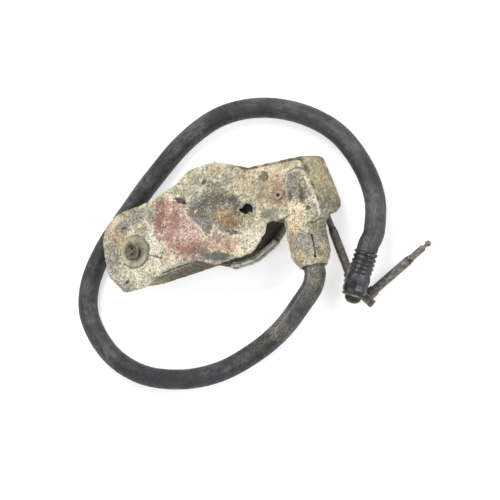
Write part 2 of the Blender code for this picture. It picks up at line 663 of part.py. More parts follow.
BOOT_ACROSS = Vector((-BOOT_ALONG.y, BOOT_ALONG.x))
STUD = on_boot(BOOT_LENGTH - STUD_BACK) - BOOT_ACROSS * STUD_ASIDE


def on_bar(distance):
    """A point along the cross bar from its near end, seen from above."""
    return STUD + BAR_ALONG * (distance - BAR_TO_STUD)


ARM_A_PIVOT = on_bar(BAR_TO_ARM_A)
ARM_B_PIVOT = on_bar(BAR_TO_ARM_B)


def along_boot(piece, distance):
    point = on_boot(distance)
    return place(piece, (point.x, point.y, BOOT_LEVEL), (BOOT_ALONG.x, BOOT_ALONG.y, 0))


def make_boot():
    """Moulded rubber boot: ribs at the cable end, then a plain cuff over the barrel."""
    bore = PLUNGER_STEM + FIT
    cuff_bore = BARREL_RADIUS + FIT
    cuff_start = BOOT_LENGTH - BARREL_LENGTH + 1.0
    crest = CABLE_RADIUS + BOOT_RIB
    outside = [(CABLE_RADIUS, 0)]
    for rib in range(BOOT_RIBS):
        start = rib * BOOT_RIB_PITCH
        outside += [(crest - 0.15, start + 0.2 * BOOT_RIB_PITCH), (crest, start + 0.45 * BOOT_RIB_PITCH),
                    (CABLE_RADIUS, start + BOOT_RIB_PITCH)]
    outside += [(BOOT_RADIUS, BOOT_RIBS * BOOT_RIB_PITCH + 0.6), (BOOT_RADIUS, BOOT_LENGTH - 0.6),
                (BOOT_RADIUS - 0.4, BOOT_LENGTH)]
    inside = [(cuff_bore, BOOT_LENGTH), (cuff_bore, cuff_start), (bore, cuff_start), (bore, 0)]
    boot = turned("ribbed_boot", outside + inside, "boot_rubber", RUBBER, 20)
    along_boot(boot, 0)


def make_barrel():
    """Barrel with its end ring and the lug that carries the cross bar."""
    start = BOOT_LENGTH - BARREL_LENGTH + 1.0 + FIT
    barrel = turned("end_barrel", [
        (BARREL_BORE, 2.0), (BARREL_BORE, BARREL_LENGTH), (BARREL_RADIUS, BARREL_LENGTH), (BARREL_RADIUS, 0),
        (PLUNGER_STEM + FIT, 0), (PLUNGER_STEM + FIT, 2.0)][::-1], "fixing_steel", BARE_STEEL)
    along_boot(barrel, start)
    ring_start = BOOT_LENGTH + FIT
    ring = turned("end_ring", [
        (BARREL_RADIUS + FIT, 0), (RING_RADIUS + 0.5, 0), (RING_RADIUS + 0.5, RING_LENGTH - 0.3),
        (RING_RADIUS + 0.2, RING_LENGTH), (BARREL_RADIUS + FIT, RING_LENGTH)], "brass", BRASS)
    along_boot(ring, ring_start)
    make_lug(ring_start + RING_LENGTH + FIT)


def make_lug(tab_start):
    """Plate under the boot that carries the stud, with a tab turned up in front of the end ring."""
    eye = STUD_RADIUS + FIT + 1.2
    left = -STUD_ASIDE - eye
    right = left + LUG_WIDTH
    back = BOOT_LENGTH - STUD_BACK - eye
    tab_end = tab_start + LUG_THICKNESS
    corners = [on_boot(along) + BOOT_ACROSS * side
               for along, side in ((back, left), (tab_end, left), (tab_end, right), (back, right))]
    lug = prism("swivel_lug", rounded_path([(p.x, p.y, 1.2) for p in corners]),
                LUG_FOOT, LUG_FOOT + LUG_THICKNESS, "brass", BRASS)
    tab_corners = [on_boot(along) + BOOT_ACROSS * side
                   for along, side in ((tab_start, left + 1.4), (tab_end - 0.1, left + 1.4),
                                       (tab_end - 0.1, right - 1.4), (tab_start, right - 1.4))]
    tab = prism("join_lug_tab", [(p.x, p.y) for p in tab_corners],
                LUG_FOOT + 0.2, BOOT_LEVEL - BARREL_BORE - FIT)
    join(lug, tab)
    cut(lug, pin("cut_lug_stud", STUD.x, STUD.y, STUD_RADIUS + FIT, LUG_FOOT - 1, LUG_FOOT + 2, count=14,
                 turn=BOOT_HEADING))


def make_stud():
    """Swivel stud, peened over the lug and in a counterbore under the bar."""
    top = LUG_FOOT + LUG_THICKNESS
    stud = turned("swivel_stud", [
        (0, BAR_FOOT), (STUD_RADIUS + 0.6, BAR_FOOT), (STUD_RADIUS + 0.6, BAR_FOOT + 0.5),
        (STUD_RADIUS, BAR_FOOT + 0.5), (STUD_RADIUS, top), (0, top)], "fixing_steel", BARE_STEEL, 14)
    place(stud, (STUD.x, STUD.y, 0))


def make_plunger(axis):
    """Domed plunger that the wire draws back into the barrel."""
    ahead = BOOT_LENGTH + RING_LENGTH + FIT + PLUNGER_STANDS_OUT
    radius = BARREL_BORE - FIT
    start = -PLUNGER_LENGTH
    dome = [(radius * math.cos(a), -radius * 0.7 * (1 - math.sin(a)))
            for a in (0, math.radians(25), math.radians(50), math.radians(72))]
    stem = PLUNGER_LENGTH + PLUNGER_STEM_LENGTH
    plunger = turned("end_plunger", [
        (0, -stem), (PLUNGER_STEM, -stem), (PLUNGER_STEM, start), (radius, start), *dome, (0, 0)],
        "plunger_steel", BLACK_STEEL)
    along_boot(plunger, ahead)
    carried(axis, plunger)


def make_cross_bar(axis):
    across = Vector((-BAR_ALONG.y, BAR_ALONG.x)) * BAR_WIDTH / 2
    corners = [on_bar(0) - across, on_bar(BAR_LENGTH) - across, on_bar(BAR_LENGTH) + across, on_bar(0) + across]
    bar = prism("cross_bar", rounded_path([(p.x, p.y, 0.4) for p in corners]),
                BAR_FOOT, BAR_TOP, "arm_steel", BARE_STEEL)
    cut(bar,
        pin("cut_bar_stud", STUD.x, STUD.y, STUD_RADIUS + FIT, BAR_FOOT - 1, BAR_TOP + 1, count=14),
        pin("cut_bar_counterbore", STUD.x, STUD.y, STUD_RADIUS + 0.6 + FIT, BAR_FOOT - 1, BAR_FOOT + 0.5 + FIT))
    cut(bar, *[pin(f"cut_bar_rivet_{i}", p.x, p.y, ARM_RIVET_RADIUS + FIT, BAR_FOOT - 1, BAR_TOP + 1, count=14)
               for i, p in enumerate((ARM_A_PIVOT, ARM_B_PIVOT))])
    carried(axis, bar)
    for letter, point in (("a", ARM_A_PIVOT), ("b", ARM_B_PIVOT)):
        foot = 0.4
        rivet = turned(f"arm_{letter}_rivet", [
            (0, foot), (ARM_RIVET_HEAD, foot), (ARM_RIVET_RADIUS, foot + 0.8), (ARM_RIVET_RADIUS, BAR_TOP - 0.05),
            (0, BAR_TOP - 0.05)], "fixing_steel", BARE_STEEL, 14)
        place(rivet, (point.x, point.y, 0))
        carried(axis, rivet)


def make_arm(letter, pivot, angle, axis):
    """Stepped arm: an eye and thick sleeve, a brass collar at the step, and a core pin with a ball tip."""
    along = heading(angle)
    origin = (pivot.x, pivot.y, ARM_LEVEL)
    out = (along.x, along.y, 0)
    sleeve = turned(f"arm_{letter}_sleeve", [
        (0, ARM_EYE_REACH), (ARM_RADIUS, ARM_EYE_REACH), (ARM_RADIUS, ARM_SLEEVE_LENGTH - 0.4), (ARM_RADIUS - 0.4, ARM_SLEEVE_LENGTH),
        (ARM_PIN_RADIUS + FIT, ARM_SLEEVE_LENGTH), (ARM_PIN_RADIUS + FIT, ARM_PIN_DEPTH), (0, ARM_PIN_DEPTH)],
        "arm_steel", BARE_STEEL, 14)
    place(sleeve, origin, out)
    half = ARM_RADIUS + ARM_EYE_STEP
    lap = ARM_EYE_REACH + ARM_EYE_LAP
    side = Vector((-along.y, along.x))
    round_end = [(half * math.cos(a), half * math.sin(a)) for a in (math.radians(90 + 20 * i) for i in range(10))]
    corners = [pivot + along * x + side * y for x, y in ((lap, -half), (lap, half), *round_end)]
    eye = prism(f"join_arm_{letter}_eye", [(p.x, p.y) for p in corners], ARM_EYE_STEP, 2 * ARM_RADIUS - ARM_EYE_STEP)
    hole = place(turned(f"cut_arm_{letter}_rivet", [
        (0, -1), (ARM_RIVET_HEAD + FIT, -1), (ARM_RIVET_HEAD + FIT, 0.4 + 0.1),
        (ARM_RIVET_RADIUS + FIT, 0.4 + 0.9), (ARM_RIVET_RADIUS + FIT, 2 * ARM_RADIUS + 1), (0, 2 * ARM_RADIUS + 1)],
        count=14), (pivot.x, pivot.y, 0))
    join(sleeve, eye)
    cut(sleeve, hole)
    collar = turned(f"arm_{letter}_collar", [
        (ARM_PIN_RADIUS + FIT, 0), (ARM_RADIUS - 0.3, 0), (ARM_RADIUS - 0.35, ARM_COLLAR_LENGTH),
        (ARM_PIN_RADIUS + FIT, ARM_COLLAR_LENGTH)], "brass", BRASS, 16)
    place(collar, (origin[0] + out[0] * (ARM_SLEEVE_LENGTH + FIT), origin[1] + out[1] * (ARM_SLEEVE_LENGTH + FIT),
                   ARM_LEVEL), out)
    ball_start = math.asin(ARM_NECK_RADIUS / BALL_RADIUS)
    ball = [(BALL_RADIUS * math.sin(a), BALL_CENTRE - BALL_RADIUS * math.cos(a))
            for a in (ball_start, math.radians(60), math.radians(90), math.radians(125), math.radians(155))]
    core = turned(f"arm_{letter}_pin", [
        (0, ARM_PIN_DEPTH + FIT), (ARM_PIN_RADIUS, ARM_PIN_DEPTH + FIT), (ARM_PIN_RADIUS, ARM_PIN_END - 0.3),
        (ARM_PIN_RADIUS - 0.3, ARM_PIN_END), (ARM_NECK_RADIUS, ARM_PIN_END), *ball, (0, BALL_CENTRE + BALL_RADIUS)],
        "arm_steel", BARE_STEEL, 14)
    place(core, origin, out)
    carried(axis, sleeve, collar, core)


# ---------------------------------------------------------------- cable
def cable_route():
    """Hand-chosen points of the cable: down from the nozzle, round the table, and up into the boot.

    The points between its ends are measured from the nozzle's mouth, and the levels are those of its middle line.
    """
    table = CABLE_RADIUS
    loop = [
        (-3.0, -8.0, NOZZLE_LEVEL - 1.2), (-10.2, -12.7, 13.4), (-25.7, -21.5, 8.8), (-43.2, -27.7, 5.3),
        (-63.2, -31.9, table), (-84.2, -30.7, table), (-105.2, -23.3, table), (-120.8, -9.1, table),
        (-128.4, 10.2, table), (-124.8, 26.1, table), (-113.2, 40.5, table), (-96.6, 53.5, table),
        (-78.6, 66.3, table), (-58.2, 78.1, table), (-37.8, 83.7, table), (-17.6, 81.5, table),
        (1.4, 73.1, table), (17.4, 59.5, table), (26.7, 42.3, table + 0.4), (30.9, 24.5, table + 2.7),
    ]
    straight = NOZZLE_MOUTH - FIT - CABLE_STRAIGHT
    boot_end = [Vector(BOOT_START) - BOOT_ALONG * back for back in (FIT, FIT + CABLE_STRAIGHT, 10.0)]
    return [
        (WIRE_X, NOZZLE_MOUTH - FIT, NOZZLE_LEVEL),
        (WIRE_X, straight, NOZZLE_LEVEL),
        *[(WIRE_X + x, NOZZLE_MOUTH + y, level) for x, y, level in loop],
        (boot_end[2].x, boot_end[2].y, BOOT_LEVEL - 1.2),
        (boot_end[1].x, boot_end[1].y, BOOT_LEVEL),
        (boot_end[0].x, boot_end[0].y, BOOT_LEVEL),
    ]


def even_points(route, spacing):
    """Points at even steps along the smooth curve through a route."""
    fine = smooth_curve(route, 12)
    lengths = [0.0]
    for start, end in zip(fine, fine[1:]):
        lengths.append(lengths[-1] + (end - start).length)
    count = round(lengths[-1] / spacing)
    points = []
    index = 0
    for step in range(count + 1):
        goal = lengths[-1] * step / count
        while index < len(fine) - 2 and lengths[index + 1] < goal:
            index += 1
        share = (goal - lengths[index]) / (lengths[index + 1] - lengths[index])
        points.append(fine[index].lerp(fine[index + 1], share))
    return points


def make_cable():
    first, *middle, last = cable_route()
    points = [first, *even_points(middle, CABLE_POINT_SPACING * CABLE_DIAMETER), last]
    return tube("cable_sheath", points, CABLE_RADIUS, 3, "cable_rubber", RUBBER)


# ---------------------------------------------------------------- the whole release
def centre_on_base(cord_names):
    """Moves everything so that the origin is under the middle of the handle and the head, on the table."""
    bpy.context.view_layer.update()
    graph = bpy.context.evaluated_depsgraph_get()
    corners = []
    for item in bpy.context.scene.objects:
        if item.hide_render or item.type == "EMPTY" or item.name in cord_names:
            continue
        shown = item.evaluated_get(graph)
        mesh = shown.to_mesh()
        corners += [shown.matrix_world @ vertex.co for vertex in mesh.vertices]
        shown.to_mesh_clear()
    middle = [(min(c[i] for c in corners) + max(c[i] for c in corners)) / 2 for i in range(2)]
    base = link("release_origin", None)
    for item in list(bpy.context.scene.objects):
        if item.parent is None and item != base:
            item.parent = base
    base.location = (-middle[0], -middle[1], 0.0)


def main():
    clear_scene()
    lever_axis = empty_axis("lever_axis", *PIVOT, MID_DEPTH)
    wire_axis = empty_axis("wire_axis", WIRE_X, 0, NOZZLE_LEVEL)
    tip = on_boot(BOOT_LENGTH)
    plunger_axis = empty_axis("plunger_axis", tip.x, tip.y, BOOT_LEVEL)
    bar_axis = empty_axis("bar_axis", STUD.x, STUD.y, BAR_FOOT)
    arm_a_axis = empty_axis("arm_a_axis", ARM_A_PIVOT.x, ARM_A_PIVOT.y, ARM_LEVEL)
    arm_b_axis = empty_axis("arm_b_axis", ARM_B_PIVOT.x, ARM_B_PIVOT.y, ARM_LEVEL)
    make_pan()
    make_cover()
    make_spacers()
    make_cover_rivet()
    make_rear_lip()
    make_pivot()
    make_lever(lever_axis)
    make_spring()
    make_pull_wire(wire_axis)
    make_nozzle()
    make_nozzle_inside()
    make_boot()
    make_barrel()
    make_stud()
    make_plunger(plunger_axis)
    make_cross_bar(bar_axis)
    make_arm("a", ARM_A_PIVOT, ARM_A_HEADING, arm_a_axis)
    make_arm("b", ARM_B_PIVOT, ARM_B_HEADING, arm_b_axis)
    make_cable()
    centre_on_base(("cable_sheath", "ribbed_boot"))


main()
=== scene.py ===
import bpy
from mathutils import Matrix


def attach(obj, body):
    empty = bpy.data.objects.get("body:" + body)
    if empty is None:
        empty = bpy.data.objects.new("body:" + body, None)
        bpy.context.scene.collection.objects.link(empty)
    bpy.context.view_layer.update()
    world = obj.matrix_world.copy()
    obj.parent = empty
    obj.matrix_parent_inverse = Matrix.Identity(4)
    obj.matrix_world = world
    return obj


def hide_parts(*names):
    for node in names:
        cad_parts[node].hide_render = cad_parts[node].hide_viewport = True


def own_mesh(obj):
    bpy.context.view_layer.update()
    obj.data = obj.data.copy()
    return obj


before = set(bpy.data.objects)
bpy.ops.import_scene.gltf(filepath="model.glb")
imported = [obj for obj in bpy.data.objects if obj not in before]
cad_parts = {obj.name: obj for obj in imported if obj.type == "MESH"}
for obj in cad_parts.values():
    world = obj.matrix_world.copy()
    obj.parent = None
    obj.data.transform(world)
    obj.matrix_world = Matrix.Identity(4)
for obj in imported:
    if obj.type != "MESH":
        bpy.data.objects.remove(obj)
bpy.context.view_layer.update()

import math

import bmesh
import bpy
from mathutils import Matrix, Vector, kdtree, noise

scene = bpy.context.scene

# ---------------------------------------------------------------- camera
# The release lies on a table. A long lens looks down at it from about sixty degrees,
# turned a little, so that the handle rises to the right across the picture.
right = Vector((0.8502, -0.1877, -0.4919))
up = Vector((0.2637, 0.9605, 0.0894))
back = Vector((0.4557, -0.2058, 0.8660))
camera = bpy.data.objects.new("table_camera", bpy.data.cameras.new("table_camera"))
scene.collection.objects.link(camera)
camera.data.sensor_width = 36.0
camera.data.lens = 125.2
camera.data.clip_start = 0.01
camera.matrix_world = (Matrix.Translation((0.35168, -0.162875, 0.6928))
                       @ Matrix((right, up, back)).transposed().to_4x4())
scene.camera = camera
scene.view_settings.view_transform = "Standard"


# ---------------------------------------------------------------- the sheathed cable
# A pull wire in a thick sheath of matt black rubber, extruded in one length and bent by hand.
# The handle's nozzle grips one end of it, the rubber boot the other, and the loop lies on the table.
drawn_x, drawn_y = 60.4213, -11.7267  # the frame's origin in the handle's drawing, in millimetres


def at(x, y, z):
    """A point of the handle's drawing, in millimetres, in the frame of the whole release, in metres."""
    return Vector((x - drawn_x, y - drawn_y, z)) / 1000


def drawn(spot):
    """Where a point of the frame, in metres, lies in the drawing's plan, in millimetres."""
    return Vector((spot.x * 1000 + drawn_x, spot.y * 1000 + drawn_y, 0.0))


def through(route, pieces=14):
    """A smooth line through the points of a route."""
    knots = [2 * route[0] - route[1], *route, 2 * route[-1] - route[-2]]
    line = []
    for a, b, c, d in zip(knots, knots[1:], knots[2:], knots[3:]):
        for part in range(pieces):
            t = part / pieces
            line.append(0.5 * (2 * b + (c - a) * t + (2 * a - 5 * b + 4 * c - d) * t * t
                               + (3 * b - a - 3 * c + d) * t ** 3))
    return [*line, route[-1]]


def even(line, step):
    """The same line with points at even steps, all in metres."""
    lengths = [0.0]
    for start, end in zip(line, line[1:]):
        lengths.append(lengths[-1] + (end - start).length)
    count = max(2, round(lengths[-1] / step))
    points, index = [], 0
    for i in range(count + 1):
        goal = lengths[-1] * i / count
        while index < len(line) - 2 and lengths[index + 1] < goal:
            index += 1
        share = (goal - lengths[index]) / max(1e-12, lengths[index + 1] - lengths[index])
        points.append(line[index].lerp(line[index + 1], share))
    return points


def shaped(name, points, faces, sharp=35.0):
    """A piece from its points in metres and its faces, smooth but for the edges sharper than an angle."""
    mesh = bpy.data.meshes.new(name)
    mesh.from_pydata(points, [], faces)
    mesh.validate()
    mesh.shade_smooth()
    if sharp:
        mesh.set_sharp_from_angle(angle=math.radians(sharp))
    piece = bpy.data.objects.new(name, mesh)
    scene.collection.objects.link(piece)
    return piece


def hose(name, path, radius, sides):
    """A tube along a path. The radius, in metres, may depend on the length along it and the angle round it."""
    points, faces, run = [], [], 0.0
    tangent = (path[1] - path[0]).normalized()
    side = tangent.orthogonal().normalized()
    for i, here in enumerate(path):
        ahead = (path[min(i + 1, len(path) - 1)] - path[max(i - 1, 0)]).normalized()
        side = (tangent.rotation_difference(ahead) @ side).normalized()
        tangent = ahead
        over = tangent.cross(side)
        run += (here - path[i - 1]).length if i else 0.0
        for k in range(sides):
            angle = 2 * math.pi * k / sides
            points.append(here + (side * math.cos(angle) + over * math.sin(angle)) * radius(run, angle))
    for i in range(len(path) - 1):
        for k in range(sides):
            j = (k + 1) % sides
            faces.append((i * sides + k, i * sides + j, (i + 1) * sides + j, (i + 1) * sides + k))
    last = (len(path) - 1) * sides
    faces += [tuple(range(sides - 1, -1, -1)), tuple(range(last, last + sides))]
    return shaped(name, points, faces, 60.0)


class Finish:
    """The finish of one kind of surface, built up in layers over the shader. Places are those of the drawing."""

    def __init__(self, name, roughness=0.6, metallic=0.0):
        self.made = bpy.data.materials.new(name)
        self.made.use_nodes = True
        self.nodes = self.made.node_tree.nodes
        self.links = self.made.node_tree.links
        self.shader = self.nodes["Principled BSDF"]
        self.shader.inputs["Roughness"].default_value = roughness
        self.shader.inputs["Metallic"].default_value = metallic
        self.place = self.nodes.new("ShaderNodeTexCoord").outputs["Object"]

    def feed(self, socket, value):
        if isinstance(value, bpy.types.NodeSocket):
            self.links.new(value, socket)
        elif isinstance(value, tuple) and socket.type == "RGBA":
            socket.default_value = (*value, 1.0)
        else:
            socket.default_value = value

    def made_of(self, kind, inputs, **settings):
        """The outputs of a new shader node with some settings, and what goes into its sockets."""
        node = self.nodes.new("ShaderNode" + kind)
        for name, value in settings.items():
            setattr(node, name, value)
        for name, value in inputs.items():
            self.feed(node.inputs[name], value)
        return node.outputs

    def sum(self, kind, a, b=0.0):
        return self.made_of("Math", {0: a, 1: b}, operation=kind)[0]

    def both(self, first, *others):
        """The product of some values."""
        for other in others:
            first = self.sum("MULTIPLY", first, other)
        return first

    def shifted(self, x, y, z=0.0):
        """The surface's places moved by some metres, for a cloud that is unlike the others."""
        return self.made_of("Mapping", {"Location": (x, y, z), "Vector": self.place})[0]

    def cloud(self, size, detail=5.0, rough=0.6, place=None):
        """Cloudy variation from 0 to 1, with blots of about a size in millimetres."""
        return self.made_of("TexNoise", {"Scale": 1000.0 / size, "Detail": detail, "Roughness": rough,
                                         "Vector": place or self.place})["Fac"]

    def grit(self, size):
        """Distance from the middle of the nearest grain, 0 at its middle."""
        return self.made_of("TexVoronoi", {"Scale": 1000.0 / size, "Vector": self.place})["Distance"]

    def crackle(self, size, bend):
        """Distance from the nearest of a net of cracks, with cells of about a size and bends, in millimetres."""
        wavy = self.made_of("TexNoise", {"Scale": 2200.0 / size, "Detail": 6.0, "Vector": self.place})["Color"]
        moved = self.made_of("VectorMath", {0: wavy, 1: (bend / 250,) * 3, 2: self.place},
                             operation="MULTIPLY_ADD")[0]
        return self.made_of("TexVoronoi", {"Scale": 1000.0 / size, "Vector": moved},
                            feature="DISTANCE_TO_EDGE")["Distance"]

    def kept(self, name, kind="Fac"):
        """A value, or a place, that the piece's own mesh carries."""
        return self.made_of("Attribute", {}, attribute_name=name)[kind]

    def step(self, value, low, high):
        """0 below low, 1 above high, and smooth between. It falls where low is above high."""
        ends = (0.0, 1.0) if low < high else (1.0, 0.0)
        return self.made_of("MapRange", {
            "Value": value, "From Min": min(low, high), "From Max": max(low, high),
            "To Min": ends[0], "To Max": ends[1]}, interpolation_type="SMOOTHSTEP")["Result"]

    def blot(self, x, y, wide, high, turn=0.0, ragged=0.5, size=3.0, soft=0.5):
        """1 inside an oval of the drawing with a ragged border, 0 outside it."""
        off = self.made_of("VectorMath", {0: self.place, 1: at(x, y, 0)}, operation="SUBTRACT")[0]
        spun = self.made_of("Mapping", {"Rotation": (0, 0, math.radians(turn)), "Vector": off,
                                        "Scale": (wide / 1000, high / 1000, 1000.0)}, vector_type="TEXTURE")[0]
        reach = self.made_of("VectorMath", {0: spun}, operation="LENGTH")["Value"]
        coarse = self.both(self.sum("SUBTRACT", self.cloud(size, 6.0, 0.65), 0.5), 10 * ragged)
        fine = self.both(self.sum("SUBTRACT", self.cloud(size / 4, 6.0, 0.7), 0.5), 5 * ragged)
        wander = self.sum("ADD", coarse, fine)
        return self.step(self.sum("ADD", reach, wander), 1.0 + soft, 1.0 - soft)

    def colours(self, value, *stops):
        node = self.nodes.new("ShaderNodeValToRGB")
        ramp = node.color_ramp
        while len(ramp.elements) < len(stops):
            ramp.elements.new(0.5)
        for element, (position, colour) in zip(ramp.elements, stops):
            element.position = position
            element.color = (*colour, 1.0)
        self.links.new(value, node.inputs[0])
        return node.outputs["Color"]

    def over(self, under, colour, *amounts):
        """A colour laid over another by the product of some amounts."""
        return self.made_of("Mix", {"Factor": self.both(*amounts), 6: under, 7: colour}, data_type="RGBA")[2]

    def level(self, under, value, amount):
        """A number laid over another by an amount."""
        return self.made_of("Mix", {"Factor": amount, 2: under, 3: value})[0]

    def relief(self, height, depth):
        """Fine relief of a depth in millimetres, too small for the mesh."""
        normal = self.made_of("Bump", {"Strength": 1.0, "Distance": depth / 1000, "Height": height})["Normal"]
        self.links.new(normal, self.shader.inputs["Normal"])

    def on(self, *pieces, colour=None, roughness=None, metallic=None):
        if colour is not None:
            self.feed(self.shader.inputs["Base Color"], colour)
        if roughness is not None:
            self.feed(self.shader.inputs["Roughness"], roughness)
        if metallic is not None:
            self.feed(self.shader.inputs["Metallic"], metallic)
        for piece in pieces:
            piece.data.materials.clear()
            piece.data.materials.append(self.made)


cable_across, cable_level = 86.2, 17.35  # the middle line of the cable's end in the nozzle, in the drawing
cable_step, cable_sides = 0.0008, 56
boot_start = at(110.4, -29.1, 12.7)
boot_along = Vector((-0.52101, -0.85355, 0.0))
cable_line = [
    *[at(cable_across, y, cable_level) for y in (-10.0, -20.0, -30.0, -33.0)],
    at(83.2, -37.7, 16.15), at(76.0, -42.4, 13.4), at(60.5, -51.2, 8.8), at(43.0, -57.4, 5.3),
    at(23.0, -61.6, 4.7), at(2.0, -60.4, 4.7), at(-19.0, -53.0, 4.7), at(-34.6, -38.8, 4.7),
    at(-42.2, -19.5, 4.7), at(-38.6, -3.6, 4.7), at(-27.0, 10.8, 4.7), at(-10.4, 23.8, 4.7),
    at(7.6, 36.6, 4.7), at(28.0, 48.4, 4.7), at(48.4, 54.0, 4.7), at(68.6, 51.8, 4.7),
    at(87.6, 43.4, 4.7), at(103.6, 29.8, 4.7), at(112.9, 12.6, 5.1), at(117.1, -5.2, 7.4),
    boot_start - boot_along * 0.010 - Vector((0, 0, 0.0012)), boot_start - boot_along * 0.0033,
    boot_start - boot_along * 0.0003,
]
cable_path = even(through(cable_line), cable_step)


def cable_radius(run, angle):
    """The rubber is a little uneven along its length and round it."""
    dent = noise.noise(Vector((run * 90, math.cos(angle) * 0.8, math.sin(angle) * 0.8)))
    wave = noise.noise(Vector((run * 320, math.cos(angle) * 1.6 + 7, math.sin(angle) * 1.6)))
    return 0.00467 + 0.00005 * dent + 0.000025 * wave


cable = hose("cable", cable_path, cable_radius, cable_sides)
# A pale line along the top of the cable near the nozzle: partly dust on the mould seam, partly a painted highlight,
# since it keeps to the cable's upper side through every bend
parting_highlight = cable.data.attributes.new("parting_highlight", "FLOAT", "POINT")
lay = cable.data.attributes.new("lay", "FLOAT_VECTOR", "POINT")
for index, vertex in enumerate(cable.data.vertices):
    ring, side = divmod(index, cable_sides)
    angle = 2 * math.pi * side / cable_sides
    lay.data[index].vector = (ring * cable_step / 7, 0.0047 * math.cos(angle), 0.0047 * math.sin(angle))
    middle = cable_path[ring]
    ahead = (cable_path[ring + 1] - middle).normalized() if ring + 1 < len(cable_path) else boot_along
    outward = (vertex.co - middle).normalized()
    off = outward.dot(Vector((-ahead.y, ahead.x, 0)).normalized()) + 0.12 + 0.10 * noise.noise(middle * 90)
    on_top = outward.z > 0 and ring < 75
    parting_highlight.data[index].value = max(0.0, 1.0 - abs(off) / 0.14) if on_top else 0.0
rubber = Finish("sheath_rubber", 0.55)
dust = rubber.cloud(26, 6, 0.62)
scuffs = rubber.cloud(2.2, 9, 0.8)
streaks = rubber.cloud(0.9, 9, 0.8, rubber.kept("lay", "Vector"))
sheen = rubber.colours(dust, (0.42, (0.007, 0.008, 0.010)), (0.5, (0.015, 0.016, 0.019)), (0.6, (0.040, 0.042, 0.047)))
sheen = rubber.over(sheen, (0.085, 0.085, 0.082), rubber.step(scuffs, 0.51, 0.6), rubber.step(dust, 0.42, 0.62))
sheen = rubber.over(sheen, (0.005, 0.005, 0.006), rubber.step(scuffs, 0.49, 0.43), 0.8)
sheen = rubber.over(sheen, (0.13, 0.128, 0.12), rubber.step(rubber.cloud(0.7, 6, 0.8), 0.58, 0.68),
                    rubber.step(rubber.cloud(9), 0.5, 0.6))
for x, y, wide, high, turn, amount in ((88.0, -33.0, 3.2, 6.5, 0, 0.8), (82.0, -41.0, 6.0, 2.2, 30, 0.45),
                                       (61.0, -50.0, 7.0, 4.5, 30, 0.75), (45.0, -57.0, 12.0, 2.5, 20, 0.3)):
    sheen = rubber.over(sheen, (0.30, 0.26, 0.185), rubber.blot(x, y, wide, high, turn, 0.3, 4.0, 0.6),
                        rubber.step(rubber.cloud(0.6, 8, 0.8), 0.44, 0.58), amount)
# pale line along the cable's top: dust on the seam and a painted highlight
sheen = rubber.over(sheen, (0.20, 0.19, 0.17), rubber.kept("parting_highlight"),
                    rubber.step(rubber.cloud(2.0, 8, 0.8), 0.42, 0.54))
sheen = rubber.over(sheen, (0.004, 0.004, 0.004), rubber.step(streaks, 0.47, 0.41), 0.45)
sheen = rubber.over(sheen, (0.085, 0.084, 0.082), rubber.step(streaks, 0.53, 0.62), rubber.step(dust, 0.42, 0.60))
rubber.relief(rubber.sum("ADD", scuffs, rubber.both(rubber.cloud(0.6, 4, 0.7), 0.5)), 0.3)
rubber.on(cable, colour=sheen, roughness=rubber.level(0.36, 0.7, rubber.step(scuffs, 0.44, 0.56)))
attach(cable, "housing")
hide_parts("cable_sheath", "cable_root")

# ---------------------------------------------------------------- ribbed boot
# A moulded boot of glossy black rubber, pushed over the cable's end and the barrel.
# Soft ribs at the cable end let it bend, and the plain cuff has dimples where it was squeezed on.


def rounded(corners, closed=True, arc=6):
    """The points of a line through (x, y, radius) corners, each corner rounded by an arc."""
    points, count = [], len(corners)
    for index, (x, y, radius) in enumerate(corners):
        here = Vector((x, y))
        if radius <= 0 or (not closed and index in (0, count - 1)):
            points.append(here)
            continue
        before = Vector(corners[index - 1][:2]) - here
        after = Vector(corners[(index + 1) % count][:2]) - here
        half = before.angle(after) / 2
        reach = min(radius / math.tan(half), 0.49 * before.length, 0.49 * after.length)
        radius = reach * math.tan(half)
        centre = here + (before.normalized() + after.normalized()).normalized() * (radius / math.sin(half))
        start = here + before.normalized() * reach - centre
        turn = math.pi - 2 * half
        if before.x * after.y - before.y * after.x > 0:
            turn = -turn
        points += [centre + Matrix.Rotation(turn * part / arc, 2) @ start for part in range(arc + 1)]
    return points


def turned(name, corners, origin, along=(0, 0, 1), sides=56, arc=3, sharp=35.0, turn=0.0):
    """A piece turned on a lathe from (radius, height, rounding) corners in millimetres, stood at a point."""
    on_axis = corners[0][0] == 0
    profile = rounded(corners, not on_axis, arc)
    area = sum(a.x * b.y - b.x * a.y for a, b in zip(profile, [*profile[1:], profile[0]]))
    profile = profile if area > 0 else profile[::-1]
    stand = Vector(along).to_track_quat("Z", "Y")
    points, rings, faces = [], [], []
    for radius, height in profile:
        if radius < 1e-6:
            rings.append([len(points)])
            points.append(origin + stand @ Vector((0, 0, height / 1000)))
            continue
        rings.append(list(range(len(points), len(points) + sides)))
        for k in range(sides):
            angle = turn + 2 * math.pi * k / sides
            local = Vector((radius * math.cos(angle), radius * math.sin(angle), height))
            points.append(origin + stand @ (local / 1000))
    pairs = list(zip(rings, rings[1:]))
    if not on_axis:
        pairs.append((rings[-1], rings[0]))
    for low, high in pairs:
        for k in range(sides):
            j = (k + 1) % sides
            ring = [low[k % len(low)], low[j % len(low)], high[j % len(high)], high[k % len(high)]]
            faces.append(list(dict.fromkeys(ring)))
    return shaped(name, points, faces, sharp)


